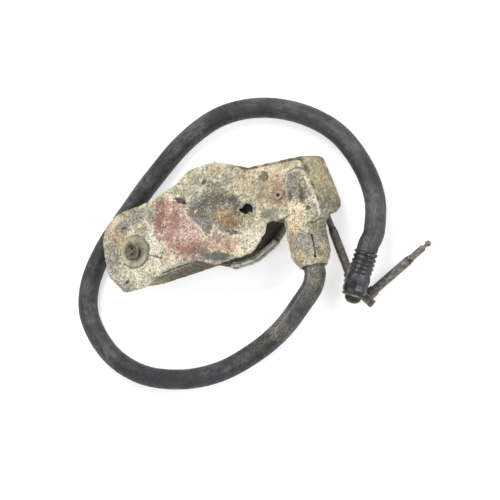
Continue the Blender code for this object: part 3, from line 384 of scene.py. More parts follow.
rib_line = [(4.75, 0.0, 0)]
for rib in range(5):
    fade = 1 - 0.13 * rib
    rib_line += [(5.0 + fade * swell, up + 2.1 * rib, round_off) for swell, up, round_off in (
        (0.0, 0.15, 0.3), (0.36, 0.65, 0.5), (0.3, 1.2, 0.5), (-0.35, 1.65, 0.35), (-0.35, 1.95, 0.3))]
rib_line += [(5.1, 10.9, 0.5), (5.4, 12.4, 1.2), (5.2, 15.0, 1.5), (5.42, 17.4, 0.9), (5.2, 18.9, 0.6),
             (4.75, 19.0, 0.1), (4.75, 11.0, 0), (4.0, 11.0, 0), (4.0, 0.0, 0)]
boot = turned("boot", rib_line, boot_start, boot_along, 72, 4, 60.0)
for vertex in boot.data.vertices:
    local = vertex.co - boot_start
    run = local.dot(boot_along)
    out = local - boot_along * run
    if out.length > 0.0044:
        lean = 0.00045 * noise.noise(vertex.co * 120) if run < 0.0105 else 0.0
        dimple = 0.00055 * noise.noise(vertex.co * 230) + 0.00022 * noise.noise(vertex.co * 620)
        free = max(0.0, min(1.0, run / 0.001, (0.019 - run) / 0.001))
        vertex.co += out.normalized() * dimple * free + boot_along * lean * free
boot_rubber = Finish("boot_rubber", 0.25)
film = boot_rubber.cloud(5, 6, 0.6)
shine = boot_rubber.colours(
    film, (0.35, (0.008, 0.008, 0.010)), (0.6, (0.022, 0.022, 0.026)), (0.8, (0.05, 0.05, 0.055)))
shine = boot_rubber.over(shine, (0.26, 0.25, 0.23), boot_rubber.step(boot_rubber.cloud(0.9, 8, 0.8), 0.60, 0.66))
boot_rubber.relief(boot_rubber.cloud(1.1, 5, 0.6), 0.14)
boot_rubber.on(boot, colour=shine, roughness=boot_rubber.level(0.14, 0.42, boot_rubber.step(film, 0.42, 0.6)))
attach(boot, "housing")
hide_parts("ribbed_boot")


# ---------------------------------------------------------------- rear pan of the handle
# The rear cheek and the wall round it are one shell of mild steel, drawn in a press and sprayed sand over green.
# Years of damp have eaten the paint to a rough, speckled crust. The wall is open behind the fingers.
def cheek(rim=0.0, rear=0.0):
    """Corners of a cheek, counter-clockwise from the tail. The pan has a rim and no chin, and flares to the rear."""
    pan = 1.0 if rim else 0.0
    return [
        (-15.4, 18.4, 14.5), (-15.4 + 0.5 * rear, -7.4 + rear, 9.0), (-7.8 - pan, -17.9 + 5.0 * pan, 2.2 + 2.0 * pan),
        (4.4, -17.9 + 3.2 * pan, 2.0), (15.0, -13.3 - 1.2 * pan, 9.0), (33.5, -13.2 - 0.6 * rear, 7.0),
        (41.5, -17.6 - 0.4 * rear, 6.5), (61.0 - 9.0 * rear, -17.6 - 0.3 * rear, 7.5),
        (69.2 - 4.5 * rear, -11.0 - 2.0 * rear, 5.0), (71.4 + 0.8 * rear, -6.4, 2.0),
        (98.6 + rim / 3 + 1.6 * rear, -6.4, 4.5), (93.6 + rim + rear, 16.8 + rim + 3.4 * rear, 3.0 + rear),
        (66.5, 19.8 + rim + rear, 3.0), (61.0, 23.2 + 0.5 * rim, 3.0), (51.0, 28.4, 8.0), (36.5, 28.4, 7.0),
        (29.5, 24.2, 6.0), (16.0, 20.4, 14.0),
    ]


def moved_in(points, distance):
    """An outline moved inwards by a distance."""
    made, count = [], len(points)
    for index, here in enumerate(points):
        normals = []
        for start, end in ((points[index - 1], here), (here, points[(index + 1) % count])):
            if (end - start).length > 1e-9:
                along = (end - start).normalized()
                normals.append(Vector((-along.y, along.x)))
        normal = sum(normals, Vector((0.0, 0.0))).normalized()
        made.append(here + normal * (distance / max(0.3, normal.dot(normals[0]))))
    return made


def stacked(name, layers, sharp=35.0):
    """A closed solid through outlines of as many points each, listed as (points, level) from one end to the other."""
    points = [at(p.x, p.y, level) for outline, level in layers for p in outline]
    count = len(layers[0][0])
    faces = [tuple(range(count - 1, -1, -1)), tuple(range((len(layers) - 1) * count, len(layers) * count))]
    for layer in range(len(layers) - 1):
        for k in range(count):
            j = (k + 1) % count
            faces.append((layer * count + k, layer * count + j, (layer + 1) * count + j, (layer + 1) * count + k))
    return shaped(name, points, faces, sharp)


def settled(piece):
    """Applies what a piece's modifiers make of it."""
    bpy.context.view_layer.update()
    shown = piece.evaluated_get(bpy.context.evaluated_depsgraph_get())
    mesh = bpy.data.meshes.new_from_object(shown)
    piece.modifiers.clear()
    piece.data = mesh
    return piece


def cut_away(piece, *cutters):
    for cutter in cutters:
        step = piece.modifiers.new("cut", "BOOLEAN")
        step.operation = "DIFFERENCE"
        step.solver = "EXACT"
        step.object = cutter
    settled(piece)
    for cutter in cutters:
        bpy.data.objects.remove(cutter)
    return piece


def one_skin(piece, grain, rounds=3):
    """Gives a piece one fine, even skin, with its edges eased, ready for dents and rust."""
    skin = piece.modifiers.new("skin", "REMESH")
    skin.mode = "VOXEL"
    skin.voxel_size = grain / 1000
    skin.use_smooth_shade = True
    ease = piece.modifiers.new("ease", "SMOOTH")
    ease.factor = 0.5
    ease.iterations = rounds
    settled(piece)
    piece.data.shade_smooth()
    return piece


def eaten(piece, crust=0.10, dents=0.0, pits=0.15, seed=0.0, where=None):
    """Rust and knocks: a fine crust, wide dents and small pits, all in millimetres along the surface's own normal."""
    mesh = piece.data
    shift = Vector((seed, seed * 0.7, -seed))
    moves = []
    for vertex in mesh.vertices:
        spot = vertex.co * 1000 + shift
        grow = crust * noise.fractal(spot * 0.45, 0.7, 2.0, 4) + 0.35 * crust * noise.noise(spot * 2.1)
        if dents:
            grow += dents * noise.noise(spot * 0.055) + 0.4 * dents * noise.noise(spot * 0.15)
        hole = noise.noise(spot * 0.9 + Vector((31, 7, 3)))
        if pits and hole > 0.34:
            grow -= pits * min(1.0, (hole - 0.34) / 0.16)
        if where:
            grow += where(spot - shift)
        moves.append(vertex.normal * (grow / 1000))
    for vertex, move in zip(mesh.vertices, moves):
        vertex.co += move
    mesh.update()
    return piece


def pan_layer(level, inset=0.0):
    outline = rounded(cheek(1.2, (23.4 - level) / 18.9), arc=8)
    return (moved_in(outline, inset) if inset else outline, level)


def drill(x, y, low, radius, deep=4, along=(0, 0, 1), sides=56):
    """A cutter for a round hole that starts at a point of the drawing."""
    return turned("drill", [(0, 0, 0), (radius, 0, 0), (radius, deep, 0), (0, deep, 0)], at(x, y, low), along, sides)


def punch(corners, low, high):
    """A cutter with a straight wall through corners of the drawing, between two levels."""
    return stacked("punch", [([Vector(corner) for corner in corners], level) for level in (low, high)])


pan = stacked("pan", [pan_layer(*layer) for layer in (
    (4.5, 0.5), (4.9, 0.1), (5.6,), (14.0,), (23.4,), (23.4, 1.9), (22.6, 1.9), (21.8, 1.2), (14.0, 1.2), (5.7, 1.2))])
pivot = (1.8, -0.7)
post_places = ((74.4, 14.2), (30.7, 15.8))
cut_away(pan, punch(((38.0, -23.0), (74.0, -23.0), (74.0, -4.0), (38.0, -4.0)), 5.7, 25.0),
         drill(cable_across, -9.4, cable_level, 1.6, 6, (0, 1, 0)),
         drill(*pivot, 3, 2.9), *[drill(*place, 3, 1.8) for place in post_places])
one_skin(pan, 0.5, 2)
eaten(pan, 0.16, 0.35, 0.22, 3.0)


def edge_of(points, parts=1):
    """A search tree of points along a closed line of the drawing, with each of its sides cut into some parts."""
    tree = kdtree.KDTree(len(points) * parts)
    for index, (start, end) in enumerate(zip(points, [*points[1:], points[0]])):
        for part in range(parts):
            spot = start.lerp(end, part / parts)
            tree.insert((spot.x, spot.y, 0.0), index * parts + part)
    tree.balance()
    return tree


def new_marks(piece, *names):
    """New values that a piece's mesh carries for its paint, all 0 at first."""
    for name in names:
        piece.data.attributes.new(name, "FLOAT", "POINT")
    return [piece.data.attributes[name].data for name in names]


def share(value):
    return min(1.0, max(0.0, value))


shaded_inside, joint, lit_ledge = new_marks(pan, "shaded_inside", "joint", "lit_ledge")
rim_outline = rounded(cheek(1.2, 0.9), arc=8)
rim_tree = edge_of(even([*rim_outline, rim_outline[0]], 0.6))
for index, vertex in enumerate(pan.data.vertices):
    height = vertex.co.z * 1000
    deep = rim_tree.find(drawn(vertex.co))[2] - (2.6 if height < 6.5 else 1.9)
    # painted shade on the pan's inner faces, which lie in shade behind the finger slot
    shaded_inside[index].value = share(deep / 0.5 + 0.5) if 5.2 < height < 22.9 else 0.0
    broken = share(0.75 + 1.3 * noise.noise(vertex.co * 350))
    # painted shade on the top of the pan's wall, in the gap under the cover's edge
    joint[index].value = broken * share((height - 22.7) / 0.4) * share((deep + 1.15) / 0.4)
    # painted highlight along the pan's top rim and along its rear edge
    front_edge = max(0.0, 1.0 - abs(height - 22.9) / 0.8) * max(0.0, 1.0 - abs(deep + 1.9) / 0.55)
    rear_edge = 0.7 * max(0.0, 1.0 - abs(height - 5.2) / 0.7) if deep < -1.0 else 0.0
    lit_ledge[index].value = front_edge + rear_edge


def old_paint(name, stops, patches=(), stains=(), bite=1.0):
    """Sprayed paint gone chalky, stained in patches, with a crust of dirt and small black pits, and deeper stains.

    Each patch or stain is (colour, amount, and the oval of blot or the name of a value kept on the mesh). Some of them
    are painted shade and painted highlights, not stains.
    """
    paint = Finish(name, 0.85)

    def where(place):
        return paint.kept(place[0]) if isinstance(place[0], str) else paint.blot(*place)

    tone = paint.colours(paint.cloud(11, 8, 0.66), *stops)
    bloom = paint.cloud(7, 8, 0.72, paint.shifted(0.31, 0.17))
    tone = paint.over(tone, (0.23, 0.225, 0.175), paint.step(bloom, 0.52, 0.58), 0.75)
    tone = paint.over(tone, (0.50, 0.36, 0.20), paint.step(bloom, 0.46, 0.40), 0.6)
    crust = paint.cloud(1.6, 9, 0.82)
    fine = paint.cloud(0.85, 7, 0.8, paint.shifted(0.5, 0.2, 0.3))
    rough = paint.step(paint.cloud(9, 6, 0.7, paint.shifted(0.9, 0.6)), 0.40, 0.58)
    rough = paint.sum("ADD", paint.both(rough, 0.68 * bite), 0.12 * bite)
    for index, (colour, amount, *place) in enumerate(patches):
        grain = paint.step(paint.cloud(2.8, 8, 0.8, paint.shifted(0.07 * index, 0.4)), 0.36, 0.48)
        tone = paint.over(tone, colour, where(place), grain, amount)
    dirt = paint.colours(bloom, (0.42, (0.17, 0.11, 0.055)), (0.52, (0.075, 0.068, 0.05)), (0.6, (0.11, 0.105, 0.10)))
    tone = paint.over(tone, dirt, paint.step(crust, 0.49, 0.42), rough)
    tone = paint.over(tone, (0.82, 0.77, 0.65), paint.step(crust, 0.53, 0.61), rough, 0.5)
    tone = paint.over(tone, dirt, paint.step(fine, 0.475, 0.415), 0.72 * bite)
    tone = paint.over(tone, (0.86, 0.82, 0.70), paint.step(fine, 0.54, 0.60), 0.42 * bite)
    crack = paint.step(paint.crackle(6.0, 2.5), 0.075, 0.02)
    tone = paint.over(tone, (0.09, 0.07, 0.045), crack, paint.step(crust, 0.46, 0.52), 0.75 * bite)
    pits = paint.both(paint.step(paint.grit(1.6), 0.30, 0.16), paint.step(paint.cloud(5, 5, 0.65), 0.50, 0.56))
    tone = paint.over(tone, (0.035, 0.03, 0.024), pits, 0.85 * bite)
    for colour, amount, *place in stains:
        worn = 1.0 if isinstance(place[0], str) else paint.step(fine, 0.35, 0.46)
        tone = paint.over(tone, colour, where(place), worn, amount)
    paint.relief(paint.sum("ADD", paint.both(crust, 1.6), fine), 0.58)
    paint.on(colour=tone)
    return paint


pan_paint = old_paint("pan_paint", (
    (0.38, (0.20, 0.19, 0.12)), (0.46, (0.38, 0.35, 0.225)), (0.53, (0.57, 0.52, 0.36)), (0.62, (0.72, 0.665, 0.50))), [
        ((0.17, 0.165, 0.115), 0.8, 101, -1, 3, 10, 0, 0.3, 5),
        ((0.56, 0.44, 0.24), 0.7, 97, 10, 8, 9, 0, 0.3, 5),
        # painted shade: the lower wall is darker along here because it lies in the cover's shadow
        ((0.13, 0.12, 0.085), 0.95, 24, -14, 14, 5, 0, 0.3, 5),
        ((0.22, 0.195, 0.13), 0.8, 45, -17, 13, 5, 0, 0.3, 5),
        ((0.62, 0.57, 0.44), 0.8, 60, -19, 12, 3, 0, 0.3, 4),
        ((0.13, 0.12, 0.085), 0.8, 60, 23, 30, 3, 0, 0.2, 6),
    ], [
        # painted shade inside the pan, seen through the finger slot
        ((0.095, 0.090, 0.072), 0.88, "shaded_inside"),
        # painted shade in the gap under the cover's edge
        ((0.055, 0.050, 0.037), 0.75, "joint"),
        # painted highlight along the pan's rims
        ((0.86, 0.82, 0.72), 0.85, "lit_ledge"),
    ])
pan_paint.on(pan)
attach(pan, "housing")
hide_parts("rear_pan")

# The rear cheek's edge is rolled back on itself behind the fingers, so that the sheet doesn't cut them.
# The roll is the same painted sheet, given far paler paint than the pan: a painted highlight that makes up for the
# shade it lies in.


def joined(first, *others, outward=False):
    """One piece of some that were welded together, with all its faces turned outward if need be."""
    welded = bmesh.new()
    for piece in (first, *others):
        welded.from_mesh(piece.data)
    if outward:
        bmesh.ops.recalc_face_normals(welded, faces=welded.faces)
    welded.to_mesh(first.data)
    welded.free()
    for piece in others:
        bpy.data.objects.remove(piece)
    return first


rolls = []
for inset, level, thick in ((1.3, 6.9, 0.85), (0.15, 5.6, 0.45), (2.55, 6.35, 0.4)):
    hem_line = [p for p in moved_in(rounded(cheek(1.2, 0.87), arc=8), inset) if 39.0 < p.x < 72.0 and p.y < -7.4]
    rolls.append(hose("rear_hem", even([at(p.x, p.y, level) for p in hem_line], 0.0006),
                      lambda run, angle: thick / 1000 + 0.00006 * noise.noise(Vector((run * 500, angle, 0))), 20))
hem = joined(*rolls)
lit_hem_paint = old_paint("lit_hem_paint", (
    (0.38, (0.62, 0.59, 0.49)), (0.46, (0.80, 0.77, 0.66)), (0.53, (0.88, 0.85, 0.76)), (0.62, (0.92, 0.90, 0.82))),
    bite=0.35)
lit_hem_paint.on(hem)
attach(hem, "housing")
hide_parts("rear_lip")

# ---------------------------------------------------------------- front cover
# A flat cheek blanked from the same sheet, its edge pressed down all round, riveted to the pan by two posts.
# The sand paint has gone chalky over red primer. Rust has lifted a wide patch of it and eaten a hole through.
cover_outline = rounded(cheek(), arc=10)
edge_tree = edge_of(cover_outline, 6)
cover = stacked("cover", [(cover_outline, 23.7), (cover_outline, 24.9)])
hole_outline = [Vector(corner) for corner in (
    (57.9, 3.3), (59.1, 2.9), (59.6, 2.0), (60.6, 1.5), (61.3, 0.6), (62.5, 0.3), (63.8, 0.9), (64.7, 0.1),
    (65.5, -0.2), (65.7, 1.2), (66.4, 2.1), (65.7, 3.0), (65.4, 4.1), (64.2, 4.5), (62.6, 5.3), (61.2, 4.5),
    (60.4, 3.5), (59.2, 3.9))]
rivet_spot = (79.8, 4.0)
cut_away(cover, punch(hole_outline, 22.0, 27.0), drill(*pivot, 22.5, 2.9),
         *[drill(*place, 22.5, 1.8) for place in (*post_places, rivet_spot)])
one_skin(cover, 0.4, 2)


def oval_reach(spot, x, y, wide, high, turn):
    """How far out a point is in an oval of the drawing, from 0 at its middle to 1 at its edge."""
    dx, dy = spot.x + drawn_x - x, spot.y + drawn_y - y
    c, s = math.cos(math.radians(turn)), math.sin(math.radians(turn))
    return math.hypot((dx * c + dy * s) / wide, (-dx * s + dy * c) / high)


def in_oval(spot, x, y, wide, high, turn, ragged=0.35):
    """How far a point is inside an oval of the drawing with a ragged edge, from 0 at its edge to 1 at its middle."""
    reach = oval_reach(spot, x, y, wide, high, turn)
    return max(0.0, 1.0 - reach + ragged * noise.noise(spot * 1.3) + 0.5 * ragged * noise.noise(spot * 3.1))


def lift(spot):
    """How far a point is inside the patch where the paint has lifted, below 0 outside it."""
    reach = oval_reach(spot, 46.5, 7.0, 13.5, 11.5, -15)
    return (1.0 - reach + 0.45 * noise.noise(spot * 0.22) + 0.22 * noise.noise(spot * 0.7)
            + 0.12 * noise.noise(spot * 1.9))


def cover_shape(spot):
    """The pressed edge, the lifted paint and the knocks of the cover, in millimetres."""
    grow = 0.0
    if spot.z > 24.4:
        near = edge_tree.find((spot.x + drawn_x, spot.y + drawn_y, 0.0))[2]
        grow -= 0.6 * max(0.0, 1.0 - near / 2.0) ** 2
        lifted = lift(spot)
        if lifted > 0.0:
            grow -= 0.25 * min(1.0, lifted / 0.05)
        elif lifted > -0.08:
            grow += 0.14 * (1 + lifted / 0.08)
        grow += 0.35 * in_oval(spot, 22, 6, 15, 14, 0)
        for x, y, wide, high, turn, deep in (
                (30.6, 15.6, 3.4, 1.2, -36, 0.45), (43.6, 20.4, 2.6, 1.0, 25, 0.4), (54.1, -5.8, 4.5, 0.8, -22, 0.4),
                (43.5, -14.2, 8.4, 1.9, -18, 0.35), (11.5, -5.4, 3.4, 0.7, -28, 0.4), (14.8, -6.8, 1.6, 0.7, 40, 0.35),
                (-5.6, -13.4, 1.6, 1.0, 30, 0.5), (74.5, 14.2, 2.2, 1.8, 0, 0.25)):
            grow -= deep * min(1.0, 3 * in_oval(spot, x, y, wide, high, turn))
    return grow


eaten(cover, 0.24, 0.32, 0.25, 11.0, cover_shape)
edge, bare, bare_rim = new_marks(cover, "edge", "bare", "bare_rim")
hole_tree = edge_of(hole_outline)
for index, vertex in enumerate(cover.data.vertices):
    spot = vertex.co * 1000
    plan = drawn(vertex.co)
    lifted = lift(spot)
    near = min(edge_tree.find(plan)[2] + 0.2, hole_tree.find(plan)[2] + 0.5)
    # edge: paler along the pressed edge and round the hole, partly worn paint and partly a painted highlight where the
    # bevel catches light
    edge[index].value = max(0.0, 1.0 - near / 1.2) * min(1.0, max(0.1, 0.6 + 1.5 * noise.noise(spot * 0.3)))
    bare[index].value = share(lifted / 0.07 + 0.5)
    bare_rim[index].value = max(0.0, 1.0 - abs(lifted + 0.05) / 0.07)

black = (0.035, 0.031, 0.025)
dark_red = (0.25, 0.09, 0.075)
paint = old_paint("cover_paint", (
    (0.38, (0.36, 0.32, 0.20)), (0.45, (0.56, 0.50, 0.33)), (0.52, (0.72, 0.64, 0.44)), (0.60, (0.80, 0.735, 0.56))), [
        ((0.21, 0.185, 0.125), 0.97, "bare"),
        # red primer, with darker and paler flakes
        ((0.50, 0.27, 0.225), 0.95, 26.5, 4.0, 14.5, 9.5, -54, 0.25, 7, 0.3),
        (dark_red, 0.85, 20.0, 16.0, 4.0, 3.0),
        (dark_red, 0.8, 17.0, 6.5, 3.0, 5.0),
        (dark_red, 0.85, 32.0, -8.5, 5.0, 3.5),
        (dark_red, 0.7, 25.0, 9.0, 6.0, 3.0),
        ((0.68, 0.50, 0.43), 0.8, 29.5, 0.0, 6.5, 3.5, -30),
        ((0.86, 0.81, 0.70), 0.85, "bare_rim"),
        # dirt and rust on the bare ground
        ((0.075, 0.075, 0.06), 0.85, 46.0, 12.0, 7.0, 4.5, -15, 0.4, 4),
        ((0.08, 0.075, 0.068), 0.8, 38.5, 6.0, 3.0, 6.5, 20, 0.4, 4),
        ((0.24, 0.26, 0.30), 0.85, 39.8, 2.8, 3.0, 1.8, -20, 0.4, 2),
        ((0.24, 0.135, 0.05), 0.97, 54.8, -0.8, 5.2, 4.4, -20, 0.4, 3, 0.3),
        ((0.50, 0.33, 0.14), 0.9, 51.5, 3.0, 3.5, 2.6, -20, 0.5, 2),
        ((0.055, 0.052, 0.04), 0.85, 41.0, 10.5, 5.0, 2.2, -15, 0.5, 2.5, 0.4),
        ((0.055, 0.052, 0.04), 0.85, 49.0, 11.5, 4.0, 1.8, 10, 0.5, 2.5, 0.4),
        # chalk and stains round the rest
        ((0.47, 0.27, 0.20), 0.85, 49.0, -10.0, 10.0, 3.8, -18, 0.4, 4, 0.4),
        # a painted highlight along the chin's pressed edge
        ((0.80, 0.75, 0.64), 0.8, 62.5, -11.5, 8.0, 2.8, -40, 0.4, 4),
        ((0.42, 0.24, 0.10), 0.85, -5.3, 8.8, 4.5, 3.2),
        ((0.30, 0.15, 0.08), 0.85, 81.0, 3.6, 3.8, 4.4, 0, 0.4),
        ((0.54, 0.36, 0.22), 0.7, 77.0, 8.5, 6.5, 5.0, 0, 0.5, 4),
        ((0.30, 0.28, 0.185), 0.6, 49.0, 21.0, 13.0, 5.0, 0, 0.4, 5),
        ((0.45, 0.38, 0.235), 0.75, 66.0, 13.5, 9.0, 4.5, -5, 0.4, 5),
        ((0.24, 0.24, 0.22), 0.75, 77.0, -3.5, 5.0, 2.0, -10, 0.4),
        ((0.36, 0.345, 0.27), 0.7, 36.0, 17.0, 6.0, 4.0, 40, 0.4, 4),
        ((0.33, 0.26, 0.16), 0.7, 71.0, 6.0, 4.0, 3.5, 20),
        ((0.26, 0.25, 0.20), 0.7, 16.0, -13.0, 9.0, 1.8),
        ((0.20, 0.21, 0.22), 0.8, 7.0, 14.5, 7.0, 3.5, 12, 0.4, 4),
        ((0.17, 0.17, 0.155), 0.8, -10.0, 1.0, 4.0, 11.0, 0, 0.4, 4),
        ((0.19, 0.18, 0.15), 0.75, 0.0, 13.5, 6.0, 3.0, 20, 0.4),
        ((0.17, 0.16, 0.12), 0.75, -6.0, -13.0, 4.0, 4.0, 0, 0.4),
        ((0.76, 0.70, 0.49), 0.8, 12.0, -9.5, 8.0, 4.5, -20, 0.4, 4),
        ((0.78, 0.73, 0.56), 0.75, 0.5, -11.0, 8.0, 4.0, -5, 0.4, 4),
        ((0.82, 0.79, 0.70), 0.9, 12.5, 2.5, 3.8, 8.5, 0, 0.4, 4),
    ], [
        (black, 0.9, 30.6, 15.6, 3.3, 1.2, -36, 0.16, 1.6, 0.2),
        (black, 0.85, 43.6, 20.4, 2.5, 1.0, 25, 0.16, 1.6, 0.2),
        (black, 0.85, 54.1, -5.8, 4.4, 0.8, -22, 0.16, 1.6, 0.2),
        ((0.085, 0.085, 0.085), 0.9, 43.5, -14.2, 8.3, 1.8, -18, 0.2, 3, 0.25),
        ((0.06, 0.05, 0.038), 0.8, 62.0, 2.4, 5.2, 3.4, -20, 0.3, 2, 0.3),
        (black, 0.75, 57.5, 9.0, 3.2, 1.6, -15, 0.3, 2, 0.3),
        (black, 0.7, 74.5, 14.2, 2.3, 1.7, 0, 0.3, 1.6, 0.3),
        (black, 0.7, 11.5, -5.4, 3.2, 0.5, -28, 0.16, 1.2, 0.3),
        (black, 0.7, 14.8, -6.8, 1.5, 0.5, 40, 0.16, 1.2, 0.3),
        (black, 0.8, -5.6, -13.4, 1.5, 0.9, 30, 0.16, 1.2, 0.3),
        (black, 0.8, -7.4, -3.7, 0.9, 0.6, 0, 0.2, 1.2, 0.3),
        (black, 0.8, -4.6, -4.8, 0.9, 0.5, 0, 0.2, 1.2, 0.3),
        (black, 0.8, -2.2, 11.8, 1.3, 0.7, 0, 0.2, 1.2, 0.3),
        # worn paint and a painted highlight along the pressed edge and the hole
        ((0.90, 0.87, 0.78), 0.8, "edge"),
        ((0.84, 0.80, 0.68), 0.4, "bare_rim"),
        ((0.22, 0.135, 0.10), 0.6, 79.8, 4.0, 3.6, 3.6, 0, 0.3, 2, 0.35),
        ((0.50, 0.43, 0.34), 0.5, 79.8, 4.0, 1.9, 1.9, 0, 0.2, 1.2, 0.3),
        # painted shade in the eyelet's hole
        (black, 0.9, 79.8, 4.0, 0.95, 0.95, 0, 0.1, 1.0, 0.25),
        ((0.15, 0.095, 0.045), 0.7, 54.6, -0.9, 4.6, 3.4, -20, 0.45, 2.5, 0.35),
        ((0.23, 0.085, 0.07), 0.6, 16.2, 7.5, 2.0, 5.5, -12, 0.5, 2.5),
        ((0.23, 0.085, 0.07), 0.6, 27.5, -7.0, 5.5, 2.0, -25, 0.5, 2.5),
        ((0.27, 0.11, 0.09), 0.5, 24.0, 3.5, 2.2, 4.0, -40, 0.5, 2.5),
        ((0.13, 0.12, 0.11), 0.6, 37.0, -8.5, 3.0, 3.0, 0, 0.5, 2.5),
        # dirt and painted shade at the feet of the saddle and the flange
        ((0.075, 0.066, 0.05), 0.7, "foot"),
        ((0.13, 0.125, 0.11), 0.75, 71.8, -2.5, 2.5, 1.6, 0, 0.3, 2, 0.3),
    ])
paint.on(cover)
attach(cover, "housing")
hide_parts("front_cover")

# ---------------------------------------------------------------- cable nozzle and its saddle
# A sleeve rolled from sheet clamps the cable at the foot of the square end. Its saddle is pressed out of the same
# blank and laps over the cover, welded down at its rim. The seam of the sleeve ends in a drilled eye.
nozzle = turned("nozzle", [
    (7.5, 0, 0), (8.85, 0, 0.4), (8.75, 17.0, 1.5), (7.6, 20.0, 1.0), (6.0, 22.6, 0.5), (5.9, 23.0, 0.2),
    (5.05, 23.0, 0.2), (5.05, 21.0, 0), (7.0, 17.6, 0), (7.5, 16.0, 0)], at(cable_across, -6.7, cable_level),
    (0, -1, 0), 72, 4)
saddle_outline = rounded([
    (83.0, -11.2, 2.0), (95.0, -12.6, 1.5), (99.2, -10.6, 1.2), (98.9, -6.0, 2.0), (94.6, 12.0, 3.5), (90.6, 13.5, 2.5),
    (84.8, 12.2, 3.5), (82.9, 2.0, 5.0)], arc=6)
saddle_steps = [(0.0, 25.0), (0.15, 25.45), (0.7, 25.95), (1.7, 26.25), (3.0, 26.4)]
saddle = stacked("saddle", [(moved_in(saddle_outline, inset) if inset else saddle_outline, level)
                            for inset, level in saddle_steps])
rings, around = 8, 72
sections = []
for i in range(rings + 1):
    fade = 1 - (3 * (i / rings) ** 2 - 2 * (i / rings) ** 3)
    for k in range(around):
        angle = 2 * math.pi * k / around
        wide = 8.8 + 3.5 * fade * share((math.sin(angle) + 0.95) / 0.7) * max(0.0, math.cos(angle)) ** 0.75
        sections.append(at(cable_across + wide * math.cos(angle), -6.6 - 7.5 * i / rings,
                           cable_level + wide * math.sin(angle)))
rows = [(i * around + k, i * around + (k + 1) % around, (i + 1) * around + (k + 1) % around, (i + 1) * around + k)
        for i in range(rings) for k in range(around)]
ends = [tuple(range(around - 1, -1, -1)), tuple(range(rings * around, (rings + 1) * around))]
shoulder = shaped("shoulder", sections, rows + ends)
cut_away(shoulder, turned("bore", [(0, -1, 0), (7.4, -1, 0), (7.4, 10, 0), (0, 10, 0)],
                          at(cable_across, -6.0, cable_level), (0, -1, 0)))
joined(nozzle, saddle, shoulder, outward=True)
one_skin(nozzle, 0.35, 2)
seam = punch([(drawn_x + side, y) for side, y in ((-0.16, -26.4), (0.16, -26.4), (0.22, -17.0), (-0.22, -17.0))],
             5.6, 12.0)
eye = drill(drawn_x, -26.7, 5.6, 0.6, 6.4)
for cutter in (seam, eye):
    cutter.data.transform(Matrix.Translation(at(cable_across, drawn_y, cable_level))
                          @ Matrix.Rotation(math.radians(38), 4, "Y"))
cut_away(nozzle, seam, eye)


def nozzle_shape(spot):
    """Knocks, the weld's notches and the crease at the saddle's foot, in millimetres."""
    grow = 0.0
    if spot.z > 24.6:
        for x, y, wide, high, turn, deep in (
                (85.9, 1.8, 0.9, 2.3, -10, 0.5), (91.4, 0.4, 1.0, 3.1, -8, 0.5), (93.3, -5.7, 1.1, 1.1, 0, 0.6),
                (94.5, -11.4, 3.0, 0.5, 25, 0.35)):
            grow -= deep * min(1.0, 3 * in_oval(spot, x, y, wide, high, turn))
    return grow


eaten(nozzle, 0.24, 0.4, 0.25, 23.0, nozzle_shape)
saddle_tree = edge_of(saddle_outline, 6)
# foot: darker on the cover round the feet of the saddle and the flange, partly dirt and partly painted shade where the
# parts meet
[foot] = new_marks(cover, "foot")
for index, vertex in enumerate(cover.data.vertices):
    plan = drawn(vertex.co)
    near = min(saddle_tree.find(plan)[2], abs(math.hypot(plan.x - pivot[0], plan.y - pivot[1]) - 7.5))
    ragged = 1.1 * noise.noise(plan * 0.35)
    on_top = vertex.co.z > 0.0243 and near < 1.2
    foot[index].value = share((0.55 - near) / 0.4 + ragged) if on_top else 0.0
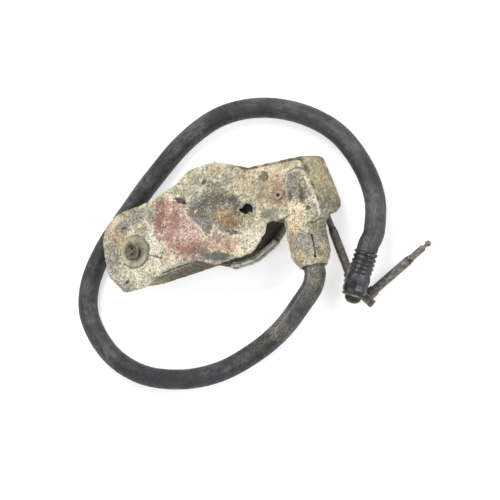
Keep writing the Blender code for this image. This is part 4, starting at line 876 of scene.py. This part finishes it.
# crest: a pale line along the saddle's rounded shoulder, a painted highlight broken by noise
[crest] = new_marks(nozzle, "crest")
for index, vertex in enumerate(nozzle.data.vertices):
    plan = drawn(vertex.co)
    near = saddle_tree.find(plan)[2] + 0.25 * noise.noise(plan * 0.6)
    worn = share(0.45 + 1.6 * noise.noise(plan * 0.25))
    on_top = vertex.co.z > 0.0252 and plan.y > -12.0
    crest[index].value = max(0.0, 1.0 - abs(near - 1.1) / 0.55) * worn if on_top else 0.0
sleeve_paint = old_paint("sleeve_paint", (
    (0.38, (0.29, 0.27, 0.17)), (0.46, (0.50, 0.455, 0.295)), (0.53, (0.67, 0.605, 0.42)),
    (0.62, (0.79, 0.73, 0.56))), [
        ((0.17, 0.145, 0.11), 0.95, 90.5, 4.6, 5.6, 8.2, 8, 0.25, 5, 0.3),
        ((0.17, 0.18, 0.20), 0.8, 88.3, 8.3, 3.5, 3.2),
        ((0.42, 0.34, 0.20), 0.7, 92.3, 7.5, 2.6, 3.0, 0, 0.5, 2.5),
        ((0.92, 0.75, 0.50), 0.95, 86.4, -6.5, 4.2, 4.6, -30, 0.3, 3, 0.3),
        ((0.74, 0.52, 0.29), 0.85, 84.8, -12.5, 3.0, 3.8, 0, 0.4, 3, 0.4),
        ((0.55, 0.31, 0.13), 0.8, 81.5, -19.0, 2.5, 4.5),
        ((0.33, 0.33, 0.32), 0.8, 87.0, -19.5, 4.0, 3.6, 0, 0.4),
        ((0.62, 0.50, 0.30), 0.7, 83.0, -25.0, 3.5, 3.5),
        ((0.70, 0.61, 0.41), 0.8, 90.0, -28.5, 7.0, 2.2, 0, 0.4),
        ((0.30, 0.30, 0.21), 0.7, 97.0, -14.0, 4.0, 9.0, 0, 0.4, 4),
        ((0.19, 0.18, 0.15), 0.7, 93.5, -17.0, 3.0, 5.0),
    ], [
        (black, 0.75, 85.9, 1.8, 0.8, 2.2, -10, 0.16, 1.5, 0.3),
        (black, 0.7, 91.4, 0.4, 0.9, 3.0, -8, 0.16, 1.5, 0.3),
        (black, 0.8, 93.3, -5.7, 1.1, 1.1, 0, 0.2, 1.5, 0.3),
        (black, 0.6, 94.5, -11.4, 2.6, 0.35, 25, 0.16, 1.5, 0.3),
        ((0.10, 0.07, 0.045), 0.7, 92.6, -25.2, 0.9, 2.2, 0, 0.3, 1.5, 0.4),
        # painted highlight along the saddle's shoulder
        ((0.84, 0.79, 0.66), 0.75, "crest"),
    ])
sleeve_paint.on(nozzle)
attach(nozzle, "housing")
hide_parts("cable_nozzle")

# ---------------------------------------------------------------- what the nozzle holds
# Out of sight in the nozzle, a hard rubber bush centres the cable and a steel ferrule ends its sheath.
# Both are turned pieces, pressed in before the sleeve is closed.
bush = turned("nozzle_filler", [(5.0, 0, 0.2), (7.2, 0, 0.4), (7.2, 8, 0.4), (5.0, 8, 0.2)],
              at(cable_across, -14.2, cable_level), (0, -1, 0))
rubber.on(bush)
ferrule = turned("ferrule", [
    (1.8, 0, 0.2), (5.7, 0, 0.5), (5.7, 6, 0.3), (5.0, 6, 0.2), (5.0, 2.4, 0), (1.8, 2.4, 0.2)],
    at(cable_across, -7.0, cable_level), (0, -1, 0))
for piece, node in ((bush, "nozzle_bush"), (ferrule, "sheath_ferrule")):
    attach(piece, "housing")
    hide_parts(node)

# ---------------------------------------------------------------- main pivot
# A shouldered screw with two spanner holes in a dished head holds the lever and both cheeks.
# Under its head lies a turned flange, painted with the cover; the nut behind is bare steel, and the posts carry the
# cover's paint.
flange = turned("flange", [
    (2.9, 0.05, 0), (7.3, 0.05, 0.1), (7.2, 0.75, 0.35), (6.6, 1.1, 0.3), (5.4, 1.0, 0.4), (4.4, 0.75, 0.3),
    (2.9, 0.75, 0)], at(*pivot, 25.1), sides=96, arc=4, sharp=60.0)
eaten(flange, 0.05, 0.0, 0.1, 5.0)
rim, shade_under_head = new_marks(flange, "rim", "shade_under_head")
for index, vertex in enumerate(flange.data.vertices):
    out = (vertex.co - at(*pivot, 0)).xy.length * 1000
    uneven = share(0.55 + 1.4 * noise.noise(vertex.co * 160))
    # rim: a painted highlight round the flange's outer rim
    rim[index].value = uneven if 6.5 < out < 7.1 else 0.0
    # painted shade in the dish under the screw head
    shade_under_head[index].value = uneven if out < 4.4 else 0.0
flange_paint = old_paint("flange_paint", (
    (0.40, (0.20, 0.20, 0.13)), (0.48, (0.33, 0.32, 0.22)), (0.54, (0.44, 0.425, 0.30)),
    (0.62, (0.56, 0.54, 0.41))), (),
    # a painted highlight on the outer rim and painted shade under the screw head
    [((0.60, 0.56, 0.41), 0.55, "rim"), ((0.08, 0.076, 0.055), 0.75, "shade_under_head")], bite=0.55)
flange_paint.on(flange)
screw = turned("pivot_bolt", [
    (0, 1.1, 0), (2.6, 1.1, 0.3), (2.6, 26.6, 0), (3.8, 26.6, 0.1), (3.75, 27.9, 0.35), (3.2, 28.1, 0.15),
    (2.6, 28.05, 0.15), (2.3, 27.5, 0.2), (0, 27.35, 0)], at(*pivot, 0), sides=64, arc=4)
cut_away(screw, *[drill(pivot[0] + 0.3 * side, pivot[1] + 1.25 * side, 26.7, 0.62, 3, sides=24) for side in (-1, 1)])
screw.data.shade_smooth()
screw.data.set_sharp_from_angle(angle=math.radians(35))
nut = turned("rear_nut", [
    (0, 0, 0), (4.5, 0, 0.4), (5.0, 0.5, 0.3), (5.0, 4.15, 0.3), (2.9, 4.15, 0), (2.9, 0.8, 0), (0, 0.8, 0)],
    at(*pivot, 0))
posts = [turned(f"post_{number}", [
    (0, 3.7, 0), (1.9, 3.7, 0.2), (2.2, 4.15, 0.1), (1.5, 4.2, 0), (1.5, 6.0, 0), (2.4, 6.0, 0.1), (2.4, 23.4, 0.1),
    (1.5, 23.4, 0), (1.5, 24.9, 0), (2.0, 24.95, 0.1), (1.6, 25.15, 0.2), (0, 25.1, 0)], at(*place, 0), sides=40)
    for number, place in enumerate(post_places, 1)]
rivet = turned("eyelet", [
    (0.6, 23.0, 0), (2.1, 23.0, 0), (2.1, 23.4, 0), (1.5, 23.4, 0), (1.5, 25.15, 0), (2.25, 25.15, 0.15),
    (2.0, 25.65, 0.2), (1.2, 25.7, 0.2), (0.6, 25.3, 0.1)], at(*rivet_spot, 0), sides=40, arc=4)
tarnish = Finish("tarnished_steel", 0.5, 0.7)
skin = tarnish.cloud(2.2, 7, 0.68)
steel_tone = tarnish.colours(skin, (0.35, (0.055, 0.05, 0.035)), (0.52, (0.13, 0.12, 0.085)), (0.7, (0.26, 0.24, 0.18)))
steel_tone = tarnish.over(steel_tone, (0.30, 0.25, 0.16), tarnish.step(tarnish.cloud(0.7, 7, 0.7), 0.58, 0.7))
tarnish.relief(tarnish.cloud(0.5, 6, 0.7), 0.08)
paint.on(rivet, *posts)
tarnish.on(screw, nut, ferrule, colour=steel_tone, roughness=tarnish.level(0.35, 0.8, skin),
           metallic=tarnish.level(0.85, 0.2, tarnish.step(skin, 0.45, 0.65)))
for piece, node, slot in ((flange, "pivot_flange", "handle_paint"), (screw, "pivot_screw", "dark_steel"),
                          (nut, "pivot_rear_nut", "dark_steel"), (rivet, "cover_rivet", "dark_steel"),
                          (posts[0], "spacer_post_1", "dark_steel"), (posts[1], "spacer_post_2", "dark_steel")):
    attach(piece, "housing")
    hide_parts(node)

# ---------------------------------------------------------------- squeeze lever, bush, nipple and spring
# The lever is a channel folded from sheet and blacked in oil. It turns on a brass bush and pulls the wire's nipple,
# and a coil spring of hard steel wire between its shelf and the top of the hump pushes it back.
blacked = Finish("blacked_steel", 0.55, 0.5)
black_tone = blacked.colours(
    blacked.cloud(6, 7, 0.65), (0.35, (0.010, 0.010, 0.010)), (0.6, (0.022, 0.021, 0.019)), (0.8, (0.05, 0.045, 0.035)))
blacked.relief(blacked.cloud(0.8, 6, 0.7), 0.1)
blacked.on(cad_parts["squeeze_lever"], colour=black_tone, roughness=blacked.level(0.45, 0.8, blacked.cloud(3)))
brass = Finish("old_brass", 0.4, 0.9)
bloomed = brass.cloud(2.4, 7, 0.66)
brass_tone = brass.colours(
    bloomed, (0.42, (0.035, 0.032, 0.022)), (0.5, (0.095, 0.085, 0.05)), (0.6, (0.20, 0.175, 0.10)))
brass.relief(brass.cloud(0.5, 6, 0.7), 0.06)
brass.on(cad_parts["pivot_bush"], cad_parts["wire_nipple"], colour=brass_tone,
         roughness=brass.level(0.3, 0.65, bloomed))
coil_turns, coil_steps, coil_radius = 6, 24, 3.6
coil_foot, coil_top = 5.85, 26.35
coil = []
for i in range(coil_turns * coil_steps + 1):
    angle = 2 * math.pi * i / coil_steps
    rise = share((i - coil_steps / 2) / (coil_turns * coil_steps - coil_steps))
    coil.append(at(45.0 + coil_radius * math.cos(angle), coil_foot + (coil_top - coil_foot) * rise,
                   14.7 + coil_radius * math.sin(angle)))
spring = hose("coil_spring", coil, lambda run, angle: 0.00055, 14)
tarnish.on(spring)
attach(spring, "housing")
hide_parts("return_spring")
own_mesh(spring)

# ---------------------------------------------------------------- barrel, ring, plunger and lug of the release head
# The boot ends on a turned steel barrel with a brass ring. A domed plunger stands out of it, blackened and greasy.
# A brass lug under the boot is turned up in front of the ring and carries the stud that the cross bar swivels on.
across = Vector((-boot_along.y, boot_along.x, 0))
barrel = turned("barrel", [(1.3, 0, 0), (4.4, 0, 0.4), (4.4, 9, 0.1), (3.9, 9, 0.1), (3.9, 2, 0), (1.3, 2, 0)],
                boot_start + boot_along * 0.0113, boot_along)
ring = turned("head_ring", [(4.7, 0, 0.1), (5.2, 0, 0.25), (5.2, 0.75, 0.3), (4.9, 1.0, 0.12), (4.7, 1.0, 0.05)],
              boot_start + boot_along * 0.0193, boot_along, 80, 4)
dome = turned("domed_plunger", [
    (0, -12.0, 0), (1.0, -12.0, 0.2), (1.0, -4.0, 0), (3.6, -4.0, 0.2), (3.6, -2.4, 0.4), (3.3, -1.4, 0.8),
    (2.4, -0.5, 1.0), (1.2, -0.05, 1.0), (0, 0, 0)], boot_start + boot_along * 0.0235, boot_along, 56, 4, 50.0)


def flat_piece(origin, along, across, corners, radius, arc):
    """The rounded outline, in the drawing, of a flat piece's corners, in millimetres along and across it."""
    places = [origin + along * (run / 1000) + across * (side / 1000) for run, side in corners]
    return rounded([(*drawn(place).xy, radius) for place in places], arc=arc)


lug_outline = flat_piece(boot_start, boot_along, across, ((14.7, -5.7), (21.3, -5.7), (21.3, 1.8), (14.7, 1.8)), 1.3, 5)
lug = stacked("lug", [(lug_outline, 6.2), (moved_in(lug_outline, -0.02), 6.6), (moved_in(lug_outline, 0.1), 7.0)])
tab_outline = flat_piece(boot_start, boot_along, across, ((20.65, -4.3), (21.3, -4.3), (21.3, 0.4), (20.65, 0.4)),
                         0.15, 3)
tab = stacked("lug_tab", [(tab_outline, 6.5), (tab_outline, 8.2), (moved_in(tab_outline, 0.12), 8.45)])
stud_spot = (98.7179, -42.1328)
stud_place = at(*stud_spot, 0)
cut_away(lug, drill(*stud_spot, 5.0, 1.4, 3, sides=32))
stud = turned("swivel_pin", [
    (0, 4.3, 0), (1.55, 4.3, 0.15), (1.7, 4.75, 0.1), (1.1, 4.8, 0), (1.1, 6.85, 0.1), (0.9, 7.0, 0.1), (0, 7.0, 0)],
    stud_place, sides=32)
tarnish.on(barrel, stud)
brass.on(ring, lug, tab)
green_black = Finish("greasy_black", 0.35, 0.6)
grease = green_black.cloud(2.5, 7, 0.65)
green_tone = green_black.colours(
    grease, (0.35, (0.012, 0.014, 0.010)), (0.55, (0.035, 0.04, 0.028)), (0.75, (0.10, 0.10, 0.07)))
green_black.relief(green_black.cloud(0.6, 6, 0.7), 0.08)
green_black.on(dome, colour=green_tone, roughness=green_black.level(0.25, 0.6, grease))
for piece, node, slot in ((barrel, "end_barrel", "dark_steel"), (ring, "end_ring", "brass"),
                          (lug, "swivel_lug", "brass"), (stud, "swivel_stud", "dark_steel")):
    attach(piece, "housing")
    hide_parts(node)
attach(tab, "housing")
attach(dome, "plunger")
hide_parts("end_plunger")

# ---------------------------------------------------------------- cross bar and its rivets
# A short flat bar of grey-brown steel, sheared from strip and tumbled, swivels under the boot.
# Each end is drilled for the countersunk rivet that an arm swings on.
bar_along = Vector((math.cos(math.radians(124.0)), math.sin(math.radians(124.0)), 0))
bar_across = Vector((-bar_along.y, bar_along.x, 0))
near_end = stud_place - bar_along * 0.0107


def on_bar(run):
    return near_end + bar_along * (run / 1000)


bar_outline = flat_piece(near_end, bar_along, bar_across, ((0, 1.8), (0, -1.8), (17.8, -1.8), (17.8, 1.8)), 0.35, 4)
bar_ends = moved_in(bar_outline, 0.12)
bar = stacked("bar", [(bar_ends, 4.3), (bar_outline, 4.42), (bar_outline, 5.78), (bar_ends, 5.9)])
rivet_places = {"arm_a": on_bar(15.6), "arm_b": on_bar(5.8)}
cut_away(bar, *[drill(*drawn(spot).xy, low, wide, sides=32) for spot, wide, low in (
    (stud_place, 1.4, 3.5), (stud_place, 2.0, 1.1), *[(place, 1.2, 3.5) for place in rivet_places.values()])])
one_skin(bar, 0.16, 2)
eaten(bar, 0.045, 0.08, 0.05, 41.0)
arm_steel = Finish("arm_steel", 0.5, 0.6)
along_grain = arm_steel.cloud(1.8, 8, 0.7)
arm_tone = arm_steel.colours(
    along_grain, (0.42, (0.10, 0.092, 0.083)), (0.5, (0.15, 0.138, 0.124)), (0.58, (0.21, 0.195, 0.178)))
arm_tone = arm_steel.over(arm_tone, (0.15, 0.105, 0.07), arm_steel.step(arm_steel.cloud(5, 7, 0.7), 0.5, 0.6), 0.25)
arm_tone = arm_steel.over(arm_tone, (0.30, 0.285, 0.25), arm_steel.step(arm_steel.cloud(0.6, 6, 0.7), 0.55, 0.66), 0.35)
arm_steel.relief(arm_steel.cloud(0.7, 7, 0.7), 0.1)
arm_steel.on(bar, colour=arm_tone, roughness=arm_steel.level(0.4, 0.75, along_grain),
             metallic=arm_steel.level(0.75, 0.3, arm_steel.step(along_grain, 0.45, 0.65)))
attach(bar, "bar")
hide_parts("cross_bar")
for letter in ("a", "b"):
    spot = rivet_places["arm_" + letter]
    pin = turned(f"rivet_{letter}", [(0, 0.4, 0), (1.6, 0.4, 0.05), (0.9, 1.2, 0), (0.9, 5.8, 0.15), (0, 5.85, 0)],
                 spot, sides=32)
    tarnish.on(pin)
    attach(pin, "bar")
    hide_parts(f"arm_{letter}_rivet")

# ---------------------------------------------------------------- the two arms
# Each arm is a steel tube with a flat eye, crimped with a brass collar over a thinner core pin.
# The pin ends in a short neck and a turned ball. Both arms are alike, browned by rust and handling.
for letter, angle in (("a", 100.0), ("b", 24.2)):
    spot = rivet_places["arm_" + letter]
    out = Vector((math.cos(math.radians(angle)), math.sin(math.radians(angle)), 0))
    start = spot + Vector((0, 0, 0.002))
    sleeve = turned(f"sleeve_{letter}", [(0, 2.6, 0), (2.0, 2.6, 0.3), (2.0, 24.8, 0.2), (1.75, 25.1, 0.05),
                                         (1.75, 6.0, 0), (0, 6.0, 0)], start, out, 40)
    side = Vector((-out.y, out.x, 0))
    tongue = [(4.6, -2.2), (4.6, 2.2)]
    for turn in range(90, 271, 12):
        tongue.append((2.35 * math.cos(math.radians(turn)), 2.35 * math.sin(math.radians(turn))))
    tongue = [drawn(spot + out * (x / 1000) + side * (y / 1000)).xy for x, y in tongue]
    tongue_face = moved_in(tongue, 0.25)
    eye = stacked(f"eye_{letter}", [(tongue_face, 0.35), (tongue, 0.6), (tongue, 3.4), (tongue_face, 3.65)])
    joined(sleeve, eye)
    one_skin(sleeve, 0.14, 2)
    cut_away(sleeve, turned("sink", [(0, -1, 0), (1.9, -1, 0), (1.9, 0.5, 0), (1.2, 1.3, 0), (1.2, 5, 0), (0, 5, 0)],
                            spot, sides=32))
    eaten(sleeve, 0.035, 0.06, 0.05, 51.0)
    collar = turned(f"collar_{letter}", [
        (1.75, 25.4, 0), (1.82, 25.4, 0.05), (1.8, 26.0, 0.1), (1.6, 26.6, 0.15), (1.5, 26.6, 0), (1.5, 25.4, 0)],
        start, out, 36)
    core = turned(f"core_{letter}", [
        (0, 6.3, 0), (1.45, 6.3, 0), (1.45, 33.7, 0.1), (1.15, 34.0, 0.1), (0.78, 34.05, 0.1), (0.75, 35.42, 0),
        (1.18, 35.85, 0.35), (1.4, 36.6, 0.8), (1.1, 37.5, 0.7), (0.5, 37.93, 0.4), (0, 38.0, 0)],
        start, out, 36, 5, 60.0)
    arm_steel.on(sleeve, core)
    brass.on(collar)
    for piece, node, slot in ((sleeve, "sleeve", "arm_steel"), (collar, "collar", "brass"), (core, "pin", "arm_steel")):
        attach(piece, f"arm_{letter}")
        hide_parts(f"arm_{letter}_{node}")

# ---------------------------------------------------------------- table and light
# A plain white table under soft studio light: one wide lamp over the far side of the handle,
# two weaker ones opposite and to the right, and an even white surround that fills the shadows.
table = shaped("table", [Vector((x, y, 0)) for x, y in ((-3, -3), (3, -3), (3, 3), (-3, 3))], [(0, 1, 2, 3)], None)
cloth = Finish("table_white", 0.9)
rays = cloth.made_of("LightPath", {})
seen = cloth.sum("MAXIMUM", rays["Is Camera Ray"], rays["Is Glossy Ray"])
seen = cloth.sum("MAXIMUM", seen, rays["Is Transmission Ray"])
cloth.shader.inputs["Emission Color"].default_value = (1, 1, 1, 1)
threads = cloth.made_of("Mapping", {
    "Scale": (0.10, 1.0, 1.0), "Rotation": (0, 0, math.radians(24.0)), "Vector": cloth.place})[0]
weave = cloth.step(cloth.cloud(3.0, 4, 0.6, threads), 0.47, 0.60)
cloth.feed(cloth.shader.inputs["Emission Strength"], cloth.both(seen, cloth.level(0.615, 0.585, weave)))
cloth.on(table, colour=cloth.colours(cloth.cloud(60, 3, 0.5), (0.3, (0.44, 0.44, 0.44)), (0.7, (0.46, 0.46, 0.46))))
world = bpy.data.worlds.new("surround")
scene.world = world
world.use_nodes = True
sky = world.node_tree
path = sky.nodes.new("ShaderNodeLightPath")
direct = sky.nodes.new("ShaderNodeMath")
direct.operation = "MAXIMUM"
sky.links.new(path.outputs["Is Camera Ray"], direct.inputs[0])
sky.links.new(path.outputs["Is Transmission Ray"], direct.inputs[1])
strength = sky.nodes.new("ShaderNodeMapRange")
strength.inputs["To Min"].default_value = 0.55
strength.inputs["To Max"].default_value = 1.0
sky.links.new(direct.outputs[0], strength.inputs["Value"])
sky.nodes["Background"].inputs["Color"].default_value = (1, 1, 1, 1)
sky.links.new(strength.outputs["Result"], sky.nodes["Background"].inputs["Strength"])
for name, place, size, power in (("window", (0.10, 0.62, 0.75), 0.55, 8.8),
                                ("reflector", (-0.45, -0.35, 0.6), 0.6, 2.4),
                                ("right_reflector", (0.72, -0.16, 0.42), 0.5, 5.0)):
    lamp = bpy.data.objects.new(name, bpy.data.lights.new(name, "AREA"))
    lamp.data.size = size
    lamp.data.energy = power
    lamp.location = place
    lamp.rotation_mode = "QUATERNION"
    lamp.rotation_quaternion = Vector(place).to_track_quat("Z", "Y")
    scene.collection.objects.link(lamp)

for node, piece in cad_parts.items():
    if not piece.hide_render and node not in ("squeeze_lever", "pivot_bush", "wire_nipple"):
        raise SystemExit(f"{node} still shows as it came from the drawing")
